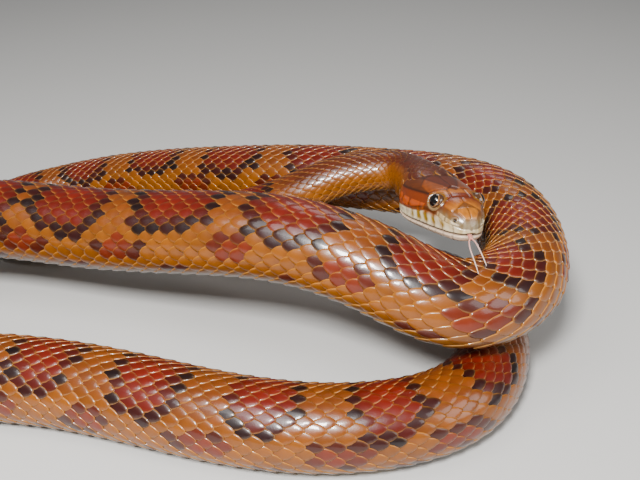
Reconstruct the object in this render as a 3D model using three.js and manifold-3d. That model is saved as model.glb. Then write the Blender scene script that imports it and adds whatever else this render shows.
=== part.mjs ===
import * as THREE from 'three';
import { mergeVertices } from 'three/addons/utils/BufferGeometryUtils.js';
import Module from 'manifold-3d';

// Adult corn snake lying in a loose heap of loops, life size.
// Millimetres, Z up, the floor at Z = 0. The head looks toward -Y.

const wasm = await Module();
wasm.setup();
const { Manifold, Mesh } = wasm;

// Head pose: where the skull meets the neck, and where the snout points
const headJoint = new THREE.Vector3(31, 44.2, 50.15);
const headYaw = 14.8;
const headPitch = 7;
const headRoll = 5.2;
const headLength = 35.4;

// The whole model moves by this so that its box stands over the origin
const shiftX = 52.04;
const shiftY = -59.16;

// Body sizes
const gap = 0.3;
const mergeDistance = 0.01;
const scutePitch = 12;
const scuteStep = 0.35;
const sides = 16;
const widthShare = 1.03;
const backShare = 0.98;
const bellyShare = 0.86;
const ventAt = 1010;
const tailTip = 0.5;

// Route of the centre line from the nape to the tip of the tail
const route = [
  // neck, turning left behind the head
  [26, 58.5, 47.5], [11, 63, 45], [-9, 63, 37],
  // down into the valley between two strands
  [-33, 70, 25], [-57, 79, 14], [-84, 84, 9],
  // small turn on the floor
  [-107, 85, 9], [-123, 93, 9], [-125, 109, 9], [-111, 120, 10],
  // rear strand, climbing to the right
  [-84, 120, 15.5], [-57, 112, 21.5], [-29, 100, 27.5], [0, 89, 32],
  // upper right loop
  [26, 80, 34], [46, 69, 36], [59, 53, 36.5], [61, 33, 35], [52.5, 11, 34.5], [37.5, 2.5, 34.8],
  // front band to the left
  [19, 8.5, 39.5], [-6, 20, 43.5], [-38, 33, 39.5], [-72, 45, 34.5], [-104, 54, 33],
  // wide left turn, down to the floor
  [-132, 56, 31], [-155, 47, 25], [-165, 28, 17], [-155, 9, 11.5], [-130, 2, 11],
  // lower front strand to the right
  [-100, 2, 11], [-65, -3, 11], [-35, -12, 11], [-8, -18, 11], [18, -17, 11],
  // lower right turn beneath the upper loop
  [38, -8, 10.8], [49.5, 9, 10.2], [53, 29, 10], [48, 48, 9.8], [33, 62, 9.3],
  // end of the trunk and the tail
  [12, 74, 8.6], [-5, 92, 7.2], [-9, 113, 6], [3, 133, 4.6], [25, 144, 3.6], [49, 141, 2.8], [68, 127, 2],
];

// Body radius along the route, distance from the snout and radius
const radii = [
  [36, 7.0], [50, 6.9], [120, 8.0], [210, 9.4], [300, 10.6], [400, 11.7], [560, 13.0],
  [754, 12.5], [884, 11.8], [954, 10.9], [1004, 9.7], [1044, 8.3], [1064, 7.6],
  [1104, 6.2], [1154, 4.2], [1184, 2.5], [1196, 1.5], [1204, 0.6],
];

// Lean of the back toward the left flank, in degrees, along the route
const rolls = [
  [0, headRoll], [36, headRoll], [70, 0], [390, 0], [450, 10], [505, 16], [570, 8], [640, 0], [1300, 0],
];

const trunkEnds = [84, 168, 252, 336, 408, 492, 576, 648, 732, 816, 900, 960, ventAt];
const tailEnds = [ventAt, 1080, 1140];

// Head outline, stations along the head from the joint forward:
// along, top, bottom, half width, height of the widest line, half width at the lips, mouth line
const headStations = [
  [0.0, 6.7, -5.9, 7.1, 0.2, 6.6, -3.6],
  [4.0, 6.5, -6.7, 8.7, -0.4, 8.1, -4.1],
  [8.0, 6.2, -7.3, 10.1, -1.0, 9.5, -4.5],
  [12.0, 6.1, -7.5, 10.5, -1.2, 9.9, -4.7],
  [16.0, 6.1, -7.4, 10.0, -0.9, 9.4, -4.5],
  [20.0, 6.1, -7.0, 9.0, -0.3, 8.5, -4.1],
  [24.0, 5.9, -6.6, 8.0, 0.4, 7.6, -3.7],
  [28.0, 5.0, -6.1, 6.8, 0.0, 6.4, -3.3],
  [31.0, 3.9, -5.7, 5.6, -0.5, 5.3, -3.0],
  [33.0, 2.9, -5.3, 4.4, -0.8, 4.2, -2.8],
  [34.4, 1.7, -4.6, 3.0, -1.0, 2.9, -2.7],
  [35.1, 0.7, -3.7, 1.8, -1.1, 1.7, -2.6],
  [35.4, 0.0, -3.0, 1.0, -1.2, 0.9, -2.5],
];
const topPower = 2.4;
const jawPower = 2.5;
const mouthFrom = 7;

// Eyes
const eyeAt = new THREE.Vector3(24.9, 5.85, 3.4);
const eyeRadius = 2.2;
const eyeAxis = new THREE.Vector3(0.14, 0.9, 0.41).normalize();
const eyeRing = { radius: 2.62, thickness: 0.42, lift: 0.95 };

// Plates of the head
const crownRise = 0.26;
const browRise = 0.5;
const lipRise = 0.2;
const upperLips = { count: 8, from: 8.2, step: 3.15, length: 2.9, rise: 2.7, lean: -0.5 };
const frontLips = { from: 6, rise: 2.3 };
const lowerLips = { count: 9, from: 8.0, step: 2.8, length: 2.55, rise: -1.5, lean: 0.4 };
const lipGap = 0.3;
const temples = {
  rows: 2, count: 3, from: 10.2, step: 3.5, shift: 1.2, low: -1.4, rowStep: 2.5, climb: 0.25,
};
const rostral = { x: 34.3, z: -0.9, radius: 1.45 };
const nostril = { x: 33.1, y: 4.75, z: 0.75, radius: 0.75 };

// Mouth: half height and depth of its slit, and the opening for the tongue
const slitHalf = 0.3;
const slitDepth = 0.8;
const tongueHole = { x: 34.6, z: -3.0, half: [1.55, 1.35, 2.9] };

// Tongue, points with their radius, in mm of the pose
const tongueStem = [[39.55, 11.1, 51.75, 0.62], [39.7, 9.6, 51.6, 0.66], [39.8, 8.6, 51.4, 0.6]];
const tongueTines = [
  [[39.6, 9.2, 51.5, 0.34], [39.0, 7.4, 51.2, 0.34], [39.0, 5.2, 50.5, 0.32],
    [39.4, 2.6, 49.6, 0.3], [39.8, 0.2, 48.7, 0.28], [40.2, -2.2, 47.5, 0.2]],
  [[39.8, 9.2, 51.5, 0.34], [40.6, 7.4, 51.4, 0.34], [41.0, 5.4, 51.2, 0.32],
    [41.4, 3.4, 50.7, 0.3], [41.9, 1.4, 49.9, 0.28], [42.4, -0.4, 48.9, 0.2]],
];

// Colours
const amber = 0xc0742c;
const paleBelly = 0xcf9a4a;
const headBrown = 0xa8642e;
const eyeBlack = 0x1a1210;
const tongueRed = 0xc98a86;

// Smooth value of a table of [place, value, ...] rows at a place
function lookup(table, at, column = 1) {
  const last = table.length - 1;
  if (at <= table[0][0]) return table[0][column];
  if (at >= table[last][0]) return table[last][column];
  let i = 0;
  while (table[i + 1][0] < at) i++;
  const slope = (k) => {
    const a = Math.max(0, k - 1);
    const b = Math.min(last, k + 1);
    return (table[b][column] - table[a][column]) / (table[b][0] - table[a][0]);
  };
  const h = table[i + 1][0] - table[i][0];
  const t = (at - table[i][0]) / h;
  const rise = table[i + 1][column] - table[i][column];
  const m0 = slope(i) * h;
  const m1 = slope(i + 1) * h;
  const bend = (m0 - 2 * rise + m1) * t * t * t + (3 * rise - 2 * m0 - m1) * t * t;
  return table[i][column] + m0 * t + bend;
}

const rad = THREE.MathUtils.degToRad;

// Unit vector from the neck joint to the snout
const headForward = new THREE.Vector3(
  Math.sin(rad(headYaw)) * Math.cos(rad(headPitch)),
  -Math.cos(rad(headYaw)) * Math.cos(rad(headPitch)),
  Math.sin(rad(headPitch)),
);

// Natural cubic spline through the points, sampled finely by length
function makeCentreLine() {
  const points = [35.5, 24, 12, 0].map((d) => headJoint.clone().addScaledVector(headForward, d));
  for (const [x, y, z] of route) points.push(new THREE.Vector3(x, y, z));
  const n = points.length;
  const knots = [0];
  for (let i = 1; i < n; i++) knots.push(knots[i - 1] + points[i].distanceTo(points[i - 1]));
  const second = ['x', 'y', 'z'].map((axis) => {
    const c = new Array(n).fill(0);
    const d = new Array(n).fill(0);
    for (let i = 1; i < n - 1; i++) {
      const h0 = knots[i] - knots[i - 1];
      const h1 = knots[i + 1] - knots[i];
      const ahead = (points[i + 1][axis] - points[i][axis]) / h1;
      const kink = ahead - (points[i][axis] - points[i - 1][axis]) / h0;
      const pivot = 2 * (h0 + h1) - h0 * c[i - 1];
      c[i] = h1 / pivot;
      d[i] = (6 * kink - h0 * d[i - 1]) / pivot;
    }
    const m = new Array(n).fill(0);
    for (let i = n - 2; i > 0; i--) m[i] = d[i] - c[i] * m[i + 1];
    return m;
  });
  const samples = [];
  const step = 0.25;
  let i = 0;
  for (let t = 0; t <= knots[n - 1]; t += step) {
    while (i < n - 2 && knots[i + 1] < t) i++;
    const h = knots[i + 1] - knots[i];
    const a = (knots[i + 1] - t) / h;
    const b = (t - knots[i]) / h;
    const p = ['x', 'y', 'z'].map((axis, k) => {
      const bend = (a ** 3 - a) * second[k][i] + (b ** 3 - b) * second[k][i + 1];
      return a * points[i][axis] + b * points[i + 1][axis] + (bend * h * h) / 6;
    });
    samples.push(new THREE.Vector3(...p));
  }
  const lengths = [0];
  for (let k = 1; k < samples.length; k++) {
    lengths.push(lengths[k - 1] + samples[k].distanceTo(samples[k - 1]));
  }
  return { samples, lengths, total: lengths[lengths.length - 1] };
}

const line = makeCentreLine();

function pointAt(s) {
  const { samples, lengths } = line;
  let low = 0;
  let high = lengths.length - 1;
  while (high - low > 1) {
    const mid = (low + high) >> 1;
    if (lengths[mid] <= s) low = mid;
    else high = mid;
  }
  const t = (s - lengths[low]) / (lengths[high] - lengths[low]);
  return samples[low].clone().lerp(samples[high], THREE.MathUtils.clamp(t, 0, 1));
}

// Place and directions of the body at distance s from the snout
function frameAt(s) {
  const ahead = pointAt(Math.min(s + 1, line.total));
  const along = ahead.sub(pointAt(Math.max(s - 1, 0))).normalize();
  const plainUp = new THREE.Vector3(0, 0, 1).addScaledVector(along, -along.z).normalize();
  const plainLeft = along.clone().cross(plainUp);
  const lean = rad(lookup(rolls, s));
  const up = plainUp.clone().multiplyScalar(Math.cos(lean)).addScaledVector(plainLeft, Math.sin(lean));
  const left = along.clone().cross(up);
  return { at: pointAt(s), along, up, left };
}

// Closed surface from rings of points, each end closed by a fan
function loft(rings) {
  const n = rings[0].length;
  const positions = rings.flat().map((p) => [p.x, p.y, p.z]).flat();
  const index = [];
  for (let r = 0; r + 1 < rings.length; r++) {
    for (let c = 0; c < n; c++) {
      const a = r * n + c;
      const b = r * n + ((c + 1) % n);
      index.push(a, b, b + n, a, b + n, a + n);
    }
  }
  for (const end of [0, rings.length - 1]) {
    const centre = new THREE.Vector3();
    for (const p of rings[end]) centre.addScaledVector(p, 1 / n);
    const hub = positions.length / 3;
    positions.push(centre.x, centre.y, centre.z);
    for (let c = 0; c < n; c++) {
      const a = end * n + c;
      const b = end * n + ((c + 1) % n);
      if (end === 0) index.push(a, hub, b);
      else index.push(a, b, hub);
    }
  }
  return outward(positions, index);
}

// Turns the triangles over if the enclosed volume comes out negative
function outward(positions, index) {
  let volume = 0;
  const corner = (k) => new THREE.Vector3().fromArray(positions, index[k] * 3);
  for (let k = 0; k < index.length; k += 3) volume += corner(k).dot(corner(k + 1).cross(corner(k + 2)));
  if (volume < 0) {
    for (let k = 0; k < index.length; k += 3) [index[k], index[k + 1]] = [index[k + 1], index[k]];
  }
  const geometry = new THREE.BufferGeometry();
  geometry.setAttribute('position', new THREE.Float32BufferAttribute(positions, 3));
  geometry.setIndex(index);
  return geometry;
}

function toSolid(geometry) {
  const mesh = new Mesh({
    numProp: 3,
    vertProperties: new Float32Array(geometry.attributes.position.array),
    triVerts: new Uint32Array(geometry.index.array),
  });
  mesh.merge();
  return new Manifold(mesh);
}

function toGeometry(solid) {
  const mesh = solid.getMesh();
  const geometry = new THREE.BufferGeometry();
  geometry.setAttribute('position', new THREE.BufferAttribute(new Float32Array(mesh.vertProperties), 3));
  geometry.setIndex(new THREE.BufferAttribute(new Uint32Array(mesh.triVerts), 1));
  return dropSlivers(geometry);
}

// Joins points closer than a few hundredths, and leaves out the triangles
// that vanish and the pairs that fold flat onto each other
function dropSlivers(geometry) {
  const merged = mergeVertices(geometry, mergeDistance);
  const old = merged.index.array;
  const kept = new Map();
  for (let k = 0; k < old.length; k += 3) {
    const corners = [old[k], old[k + 1], old[k + 2]];
    const key = [...corners].sort((a, b) => a - b).join();
    if (new Set(corners).size < 3) continue;
    if (kept.has(key)) kept.delete(key);
    else kept.set(key, corners);
  }
  merged.setIndex([...kept.values()].flat());
  return merged;
}

const group = new THREE.Group();
group.name = 'corn_snake';

function addNode(name, geometry, color, roughness) {
  const flat = geometry.clone();
  flat.translate(shiftX, shiftY, 0);
  flat.computeVertexNormals();
  const mesh = new THREE.Mesh(flat, new THREE.MeshStandardMaterial({ color, roughness, metalness: 0 }));
  mesh.name = name;
  group.add(mesh);
}

// One ring round the body. The belly columns step out toward the rear edge of each scute.
function bodyRing(s, scute) {
  const { at, up, left } = frameAt(s);
  const radius = lookup(radii, s);
  const points = [];
  for (let k = 0; k < sides; k++) {
    const turn = (k * 2 * Math.PI) / sides;
    const c = Math.cos(turn);
    const w = Math.sin(turn);
    let across = radius * widthShare * w;
    let height = radius * backShare * c;
    if (c < -0.01) {
      const share = 2 / 2.5;
      across = radius * widthShare * Math.sign(w) * Math.abs(w) ** share;
      height = -radius * bellyShare * Math.abs(c) ** share;
      if (c < -0.9) height -= scute;
      else if (c < -0.6) height -= scute * 0.6;
    }
    const p = at.clone().addScaledVector(left, across).addScaledVector(up, height);
    p.z = Math.max(p.z, 0);
    points.push(p);
  }
  return points;
}

// Length of body between two distances, with its belly scutes
function bodyLength(from, to, lastRadius = 0) {
  const start = from + gap / 2;
  const end = lastRadius ? to : to - gap / 2;
  const rings = [bodyRing(start, 0)];
  for (let s = Math.floor(from / scutePitch) * scutePitch; s < end; s += scutePitch) {
    const step = scuteStep * Math.min(1, lookup(radii, s) / 8);
    const bend = frameAt(s).along.angleTo(frameAt(s + scutePitch).along);
    for (const [offset, share] of [[0.35, 0], [scutePitch / 2, 0.5], [scutePitch - 0.35, 1]]) {
      const place = s + offset;
      if (share === 0.5 && bend < 0.22) continue;
      if (place > start + 0.3 && place < end - 0.3) rings.push(bodyRing(place, step * share));
    }
  }
  rings.push(bodyRing(end, 0));
  return loft(rings);
}

const headFrame = frameAt(10);

// Point of the head in its own directions: along, to the left, up
function headPoint(x, y, z) {
  const { up, left } = headFrame;
  return headJoint.clone().addScaledVector(headForward, x).addScaledVector(left, y).addScaledVector(up, z);
}

const headValue = (x, column) => lookup(headStations, x, column);

// Height of the crown over a point of the plan
function crown(x, y) {
  const middle = headValue(x, 4);
  const share = Math.min(0.999, Math.abs(y) / headValue(x, 3));
  return middle + (headValue(x, 1) - middle) * (1 - share ** topPower) ** (1 / topPower);
}

// Height of the chin under a point of the plan
function chin(x, y) {
  const mouth = headValue(x, 6);
  const share = Math.min(0.999, Math.abs(y) / headValue(x, 5));
  return mouth - (mouth - headValue(x, 2)) * (1 - share ** jawPower) ** (1 / jawPower);
}

// Half width of the head at a height
function cheek(x, z) {
  const top = headValue(x, 1);
  const middle = headValue(x, 4);
  const mouth = headValue(x, 6);
  const widest = headValue(x, 3);
  const lips = headValue(x, 5);
  if (z >= middle) {
    const share = Math.min(0.999, (z - middle) / (top - middle));
    return widest * (1 - share ** topPower) ** (1 / topPower);
  }
  if (z >= mouth) return widest - (widest - lips) * ((middle - z) / (middle - mouth)) ** 2;
  const share = Math.min(0.999, (mouth - z) / (mouth - headValue(x, 2)));
  return lips * (1 - share ** jawPower) ** (1 / jawPower);
}

// Skull and jaws without plates
function headBase() {
  const rings = [];
  const places = [gap / 2];
  for (let x = 2; x < 33; x += 2) places.push(x);
  places.push(33.2, 34, 34.6, 35, 35.25, headLength);
  for (const x of places) {
    const half = [];
    const top = headValue(x, 1);
    const middle = headValue(x, 4);
    const mouth = headValue(x, 6);
    const bottom = headValue(x, 2);
    const ease = (share, power) => Math.sin((share * Math.PI) / 2) ** (2 / power);
    for (let k = 0; k <= 5; k++) {
      const across = headValue(x, 3) * ease(k / 5, topPower);
      half.push([across, middle + (top - middle) * ease(1 - k / 5, topPower)]);
    }
    half.push([cheek(x, (middle + mouth) / 2), (middle + mouth) / 2]);
    for (let k = 0; k <= 4; k++) {
      const across = headValue(x, 5) * ease(1 - k / 4, jawPower);
      half.push([across, mouth - (mouth - bottom) * ease(k / 4, jawPower)]);
    }
    const ring = half.map(([y, z]) => headPoint(x, y, z));
    for (let k = half.length - 2; k > 0; k--) ring.push(headPoint(x, -half[k][0], half[k][1]));
    rings.push(ring);
  }
  return loft(rings);
}

// Raised plate over an outline given in two plan directions. The surface
// function turns a plan point and a height above the skin into a point.
function plate(outline, surface, height, edgeCuts = 1, sink = 0.5) {
  const levels = [[1, -sink], [1, 0.04], [0.84, height]];
  if (edgeCuts > 1) levels.push([0.45, height]);
  const loop = [];
  outline.forEach((a, i) => {
    const b = outline[(i + 1) % outline.length];
    for (let k = 0; k < edgeCuts; k++) {
      const t = k / edgeCuts;
      loop.push([a[0] + (b[0] - a[0]) * t, a[1] + (b[1] - a[1]) * t]);
    }
  });
  const middle = [0, 1].map((k) => loop.reduce((sum, p) => sum + p[k], 0) / loop.length);
  const rings = levels.map(([share, lift]) => loop.map(([a, b]) => (
    surface(middle[0] + (a - middle[0]) * share, middle[1] + (b - middle[1]) * share, lift)
  )));
  return toSolid(loft(rings));
}

const onCrown = (x, y, lift) => headPoint(x, y, crown(x, y) + lift);
const onChin = (x, y, lift) => headPoint(x, y, chin(x, y) - lift);
const onCheek = (side) => (x, z, lift) => headPoint(x, side * (cheek(x, z) + lift), z);

// Shields of the crown, outlines in along and left, right half mirrored
const crownShields = {
  internasal: [[34.2, 0.2], [34.0, 1.7], [32.2, 3.0], [31.3, 2.7], [31.2, 0.2]],
  prefrontal: [[30.9, 0.2], [31.0, 2.8], [31.6, 4.0], [28.6, 5.3], [27.3, 4.4], [27.0, 2.7], [27.1, 0.2]],
  supraocular: [[26.9, 3.0], [27.1, 4.4], [26.7, 5.9], [24.2, 6.7], [21.6, 6.6], [21.3, 4.9], [22.6, 2.6]],
  parietal: [[19.9, 0.2], [21.9, 2.2], [21.0, 4.8], [20.6, 6.4],
    [15.6, 6.8], [12.0, 4.6], [10.8, 2.0], [11.6, 0.2]],
};
const frontal = [[26.8, 0], [26.7, 2.5], [22.6, 2.2], [20.2, 0], [22.6, -2.2], [26.7, -2.5]];

// Shields between eye and nostril and one temple scale, outlines in along and up
const cheekShields = {
  loreal: [[28.2, -0.2], [30.2, -0.2], [30.4, 1.8], [28.4, 2.6]],
  nasal: [[30.6, -0.5], [33.6, -0.5], [33.4, 1.0], [30.8, 1.9]],
};
const temple = [[0, 0.9], [1.4, -0.1], [3, 0.2], [3.2, 1.5], [1.7, 2.3]];

// Shields of the chin, outlines in along and left
const chinShields = {
  front: [[32, 0.2], [31.6, 1.5], [24.4, 2.5], [23.6, 0.2]],
  rear: [[23.2, 0.3], [23.8, 2.3], [17.6, 2.6], [16.2, 1.2]],
};

// Row of lip shields on one side, above or below the line of the mouth
function lipRow(lips, side, clear) {
  const plates = [];
  for (let k = 0; k < lips.count; k++) {
    const rear = lips.from + k * lips.step;
    const front = rear + lips.length;
    const rise = lips === upperLips && k >= frontLips.from ? frontLips.rise : lips.rise;
    const lipLine = (x) => headValue(x, 6) + clear;
    const outline = [
      [rear, lipLine(rear)],
      [front, lipLine(front)],
      [front + lips.lean, lipLine(front) + rise],
      [rear + lips.lean, lipLine(rear) + rise],
    ];
    plates.push(plate(outline, onCheek(side), lipRise));
  }
  return plates;
}

// Temple scales behind the eye
function templeRows(side) {
  const plates = [];
  for (let row = 0; row < temples.rows; row++) {
    for (let k = 0; k < temples.count; k++) {
      const rear = temples.from + k * temples.step + row * temples.shift;
      const low = temples.low + row * temples.rowStep + k * temples.climb;
      const outline = temple.map(([x, z]) => [rear + x, low + z]);
      plates.push(plate(outline, onCheek(side), lipRise));
    }
  }
  return plates;
}

// Ring of small scales round the eye
function makeEyeRing(side) {
  const axis = headDirection(eyeAxis, side);
  const ring = new THREE.TorusGeometry(eyeRing.radius, eyeRing.thickness, 6, 16);
  ring.applyQuaternion(new THREE.Quaternion().setFromUnitVectors(new THREE.Vector3(0, 0, 1), axis));
  const centre = eyeCentre(side).addScaledVector(axis, eyeRing.lift);
  ring.translate(centre.x, centre.y, centre.z);
  return toSolid(ring);
}

function headPlates() {
  const plates = [plate(frontal, onCrown, crownRise, 2)];
  for (const side of [1, -1]) {
    for (const [name, outline] of Object.entries(crownShields)) {
      const mirrored = outline.map(([x, y]) => [x, side * y]);
      const rise = name === 'supraocular' ? browRise : crownRise;
      plates.push(plate(mirrored, onCrown, rise, name === 'parietal' ? 2 : 1));
    }
    for (const outline of Object.values(cheekShields)) {
      plates.push(plate(outline, onCheek(side), lipRise));
    }
    for (const outline of Object.values(chinShields)) {
      plates.push(plate(outline.map(([x, y]) => [x, side * y]), onChin, lipRise));
    }
    plates.push(...lipRow(upperLips, side, lipGap));
    plates.push(...lipRow(lowerLips, side, -lipGap));
    plates.push(...templeRows(side), makeEyeRing(side));
  }
  plates.push(ball(headPoint(rostral.x, 0, rostral.z), rostral.radius, 12, 8));
  return plates;
}

function headDirection(v, side) {
  return headPoint(v.x, side * v.y, v.z).sub(headPoint(0, 0, 0));
}

function eyeCentre(side) {
  return headPoint(eyeAt.x, side * eyeAt.y, eyeAt.z);
}

function ball(centre, radius, around, rows) {
  const sphere = new THREE.SphereGeometry(radius, around, rows);
  sphere.translate(centre.x, centre.y, centre.z);
  return toSolid(sphere);
}

// Tube of diamond section along points, for the slit of the mouth
function slit(points, half, depth) {
  const rings = points.map((p, i) => {
    const before = points[Math.max(0, i - 1)];
    const after = points[Math.min(points.length - 1, i + 1)];
    const along = new THREE.Vector2(after[0] - before[0], after[1] - before[1]).normalize();
    const out = [along.y, -along.x];
    const corner = (d, h) => headPoint(p[0] + out[0] * d, p[1] + out[1] * d, p[2] + h);
    return [corner(depth, 0), corner(0, half), corner(-depth, 0), corner(0, -half)];
  });
  return toSolid(loft(rings));
}

function mouthSlit() {
  const leftHalf = [];
  for (let x = mouthFrom; x < 34.9; x += 2) leftHalf.push([x, headValue(x, 5) + 0.05, headValue(x, 6)]);
  leftHalf.push([35.1, 1.4, -2.65]);
  const rightHalf = leftHalf.map(([x, y, z]) => [x, -y, z]).reverse();
  return slit([...leftHalf, [35.5, 0, -2.6], ...rightHalf], slitHalf, slitDepth);
}

function makeHead() {
  let solid = Manifold.union([toSolid(headBase()), ...headPlates()]);
  const cuts = [mouthSlit()];
  for (const side of [1, -1]) {
    cuts.push(ball(eyeCentre(side), eyeRadius + gap, 16, 10));
    const hole = headPoint(nostril.x, side * nostril.y, nostril.z);
    cuts.push(ball(hole, nostril.radius, 8, 6));
  }
  // opening for the tongue
  const opening = new THREE.SphereGeometry(1, 12, 8);
  opening.scale(...tongueHole.half);
  opening.rotateX(Math.PI / 2);
  opening.rotateZ(rad(headYaw));
  const mouth = headPoint(tongueHole.x, 0, tongueHole.z);
  opening.translate(mouth.x, mouth.y, mouth.z);
  cuts.push(toSolid(opening));
  solid = solid.subtract(Manifold.union(cuts));
  return toGeometry(solid);
}

// Tapered tube through points, each with its radius
function tube(points, around) {
  const rings = points.map(([x, y, z], i) => {
    const here = new THREE.Vector3(x, y, z);
    const before = new THREE.Vector3(...points[Math.max(0, i - 1)].slice(0, 3));
    const after = new THREE.Vector3(...points[Math.min(points.length - 1, i + 1)].slice(0, 3));
    const along = after.sub(before).normalize();
    const across = along.clone().cross(new THREE.Vector3(0, 0, 1)).normalize();
    const up = across.clone().cross(along);
    const ring = [];
    for (let k = 0; k < around; k++) {
      const turn = (k * 2 * Math.PI) / around;
      const r = points[i][3];
      const point = here.clone().addScaledVector(across, r * Math.cos(turn));
      ring.push(point.addScaledVector(up, r * Math.sin(turn)));
    }
    return ring;
  });
  return toSolid(loft(rings));
}

// Tongue: a short stem in the opening and two tines over the loop in front
function makeTongue() {
  const strands = [tube(tongueStem, 10), ...tongueTines.map((tine) => tube(tine, 8))];
  return toGeometry(Manifold.union(strands));
}

addNode('head', makeHead(), headBrown, 0.35);
for (const [side, name] of [[1, 'eye_left'], [-1, 'eye_right']]) {
  addNode(name, toGeometry(ball(eyeCentre(side), eyeRadius, 20, 12)), eyeBlack, 0.1);
}
addNode('tongue', makeTongue(), tongueRed, 0.4);
addNode('neck', bodyLength(36, trunkEnds[0]), amber, 0.35);
for (let k = 0; k + 1 < trunkEnds.length; k++) {
  const name = `torso_${String(k + 1).padStart(2, '0')}`;
  addNode(name, bodyLength(trunkEnds[k], trunkEnds[k + 1]), k < 9 ? amber : paleBelly, 0.35);
}
tailEnds.forEach((from, k) => {
  const last = k === tailEnds.length - 1;
  const to = last ? line.total - 1.5 : tailEnds[k + 1];
  addNode(`tail_${String(k + 1).padStart(2, '0')}`, bodyLength(from, to, last ? tailTip : 0), amber, 0.4);
});

export default group;
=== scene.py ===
import math

import bmesh
import bpy
import numpy as np
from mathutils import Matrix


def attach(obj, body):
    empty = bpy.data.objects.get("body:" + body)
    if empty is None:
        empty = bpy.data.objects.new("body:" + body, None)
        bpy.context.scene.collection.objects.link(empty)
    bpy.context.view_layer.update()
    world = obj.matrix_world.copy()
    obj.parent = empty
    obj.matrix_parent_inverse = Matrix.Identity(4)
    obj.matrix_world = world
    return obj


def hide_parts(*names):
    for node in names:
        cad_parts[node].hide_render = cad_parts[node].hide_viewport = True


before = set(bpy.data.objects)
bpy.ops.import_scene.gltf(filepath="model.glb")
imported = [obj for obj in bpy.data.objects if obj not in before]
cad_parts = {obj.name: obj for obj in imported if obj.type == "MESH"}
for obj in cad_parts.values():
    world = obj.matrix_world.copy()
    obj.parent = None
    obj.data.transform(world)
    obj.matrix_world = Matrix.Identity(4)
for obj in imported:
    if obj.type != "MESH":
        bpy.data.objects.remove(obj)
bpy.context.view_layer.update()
print("frame loaded")

mm = 0.001

# the pose, in mm, as the solids have it
pose = {
    "joint": (31, 44.2, 50.15),
    "yaw": 14.8,
    "pitch": 7.0,
    "headLength": 35.4,
    "shift": (52.04, -59.16, 0),
}

route = [
    # neck, turning left behind the head
    (26, 58.5, 47.5), (11, 63, 45), (-9, 63, 37),
    # down into the valley between two strands
    (-33, 70, 25), (-57, 79, 14), (-84, 84, 9),
    # small turn on the floor
    (-107, 85, 9), (-123, 93, 9), (-125, 109, 9), (-111, 120, 10),
    # rear strand, climbing to the right
    (-84, 120, 15.5), (-57, 112, 21.5), (-29, 100, 27.5), (0, 89, 32),
    # upper right loop
    (26, 80, 34), (46, 69, 36), (59, 53, 36.5), (61, 33, 35), (52.5, 11, 34.5), (37.5, 2.5, 34.8),
    # front band to the left
    (19, 8.5, 39.5), (-6, 20, 43.5), (-38, 33, 39.5), (-72, 45, 34.5), (-104, 54, 33),
    # wide left turn, down to the floor
    (-132, 56, 31), (-155, 47, 25), (-165, 28, 17), (-155, 9, 11.5), (-130, 2, 11),
    # lower front strand to the right
    (-100, 2, 11), (-65, -3, 11), (-35, -12, 11), (-8, -18, 11), (18, -17, 11),
    # lower right turn beneath the upper loop
    (38, -8, 10.8), (49.5, 9, 10.2), (53, 29, 10), (48, 48, 9.8), (33, 62, 9.3),
    # end of the trunk and the tail
    (12, 74, 8.6), (-5, 92, 7.2), (-9, 113, 6), (3, 133, 4.6), (25, 144, 3.6), (49, 141, 2.8), (68, 127, 2),
]

radii = [
    (36, 7.0), (50, 6.9), (120, 8.0), (210, 9.4), (300, 10.6), (400, 11.7), (560, 13.0),
    (754, 12.5), (884, 11.8), (954, 10.9), (1004, 9.7), (1044, 8.3), (1064, 7.6),
    (1104, 6.2), (1154, 4.2), (1184, 2.5), (1196, 1.5), (1204, 0.6),
]

rolls = [
    (0, 5.2), (36, 5.2), (70, 0), (390, 0), (450, 10), (505, 16), (570, 8), (640, 0), (1300, 0),
]

# along, top, bottom, half width, height of the widest line, half width at the lips, mouth line
headStations = [
    (0.0, 6.7, -5.9, 7.1, 0.2, 6.6, -3.6),
    (4.0, 6.5, -6.7, 8.7, -0.4, 8.1, -4.1),
    (8.0, 6.2, -7.3, 10.1, -1.0, 9.5, -4.5),
    (12.0, 6.1, -7.5, 10.5, -1.2, 9.9, -4.7),
    (16.0, 6.1, -7.4, 10.0, -0.9, 9.4, -4.5),
    (20.0, 6.1, -7.0, 9.0, -0.3, 8.5, -4.1),
    (24.0, 5.9, -6.6, 8.0, 0.4, 7.6, -3.7),
    (28.0, 5.0, -6.1, 6.8, 0.0, 6.4, -3.3),
    (31.0, 3.9, -5.7, 5.6, -0.5, 5.3, -3.0),
    (33.0, 2.9, -5.3, 4.4, -0.8, 4.2, -2.8),
    (34.4, 1.7, -4.6, 3.0, -1.0, 2.9, -2.7),
    (35.1, 0.7, -3.7, 1.8, -1.1, 1.7, -2.6),
    (35.4, 0.0, -3.0, 1.0, -1.2, 0.9, -2.5),
]

shape = {
    "widthShare": 1.03,
    "backShare": 0.98,
    "bellyShare": 0.86,
    "bellyPower": 2.5,
    "topPower": 2.4,
    "jawPower": 2.5,
    "flatLength": 1300.0,   # the unwrap is this long, so that it runs from 0 to 1
    "coatDepth": 0.45,      # the skin lies this far inside the solids
    "mouthShare": 0.6,      # share of the half ring where the lips meet
    "patchAcross": 0.003,   # each scale's patch of the unwrap
    "coatFrom": (30, 44),   # the inset grows from none to full between these
    "coatEnd": 40,          # and shrinks to none over the last of the tail
    "headJoin": (32, 44),
    "headOffset": 36,       # place along the head is this less the distance along the body
    "floorGap": 0.35,
}


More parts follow.
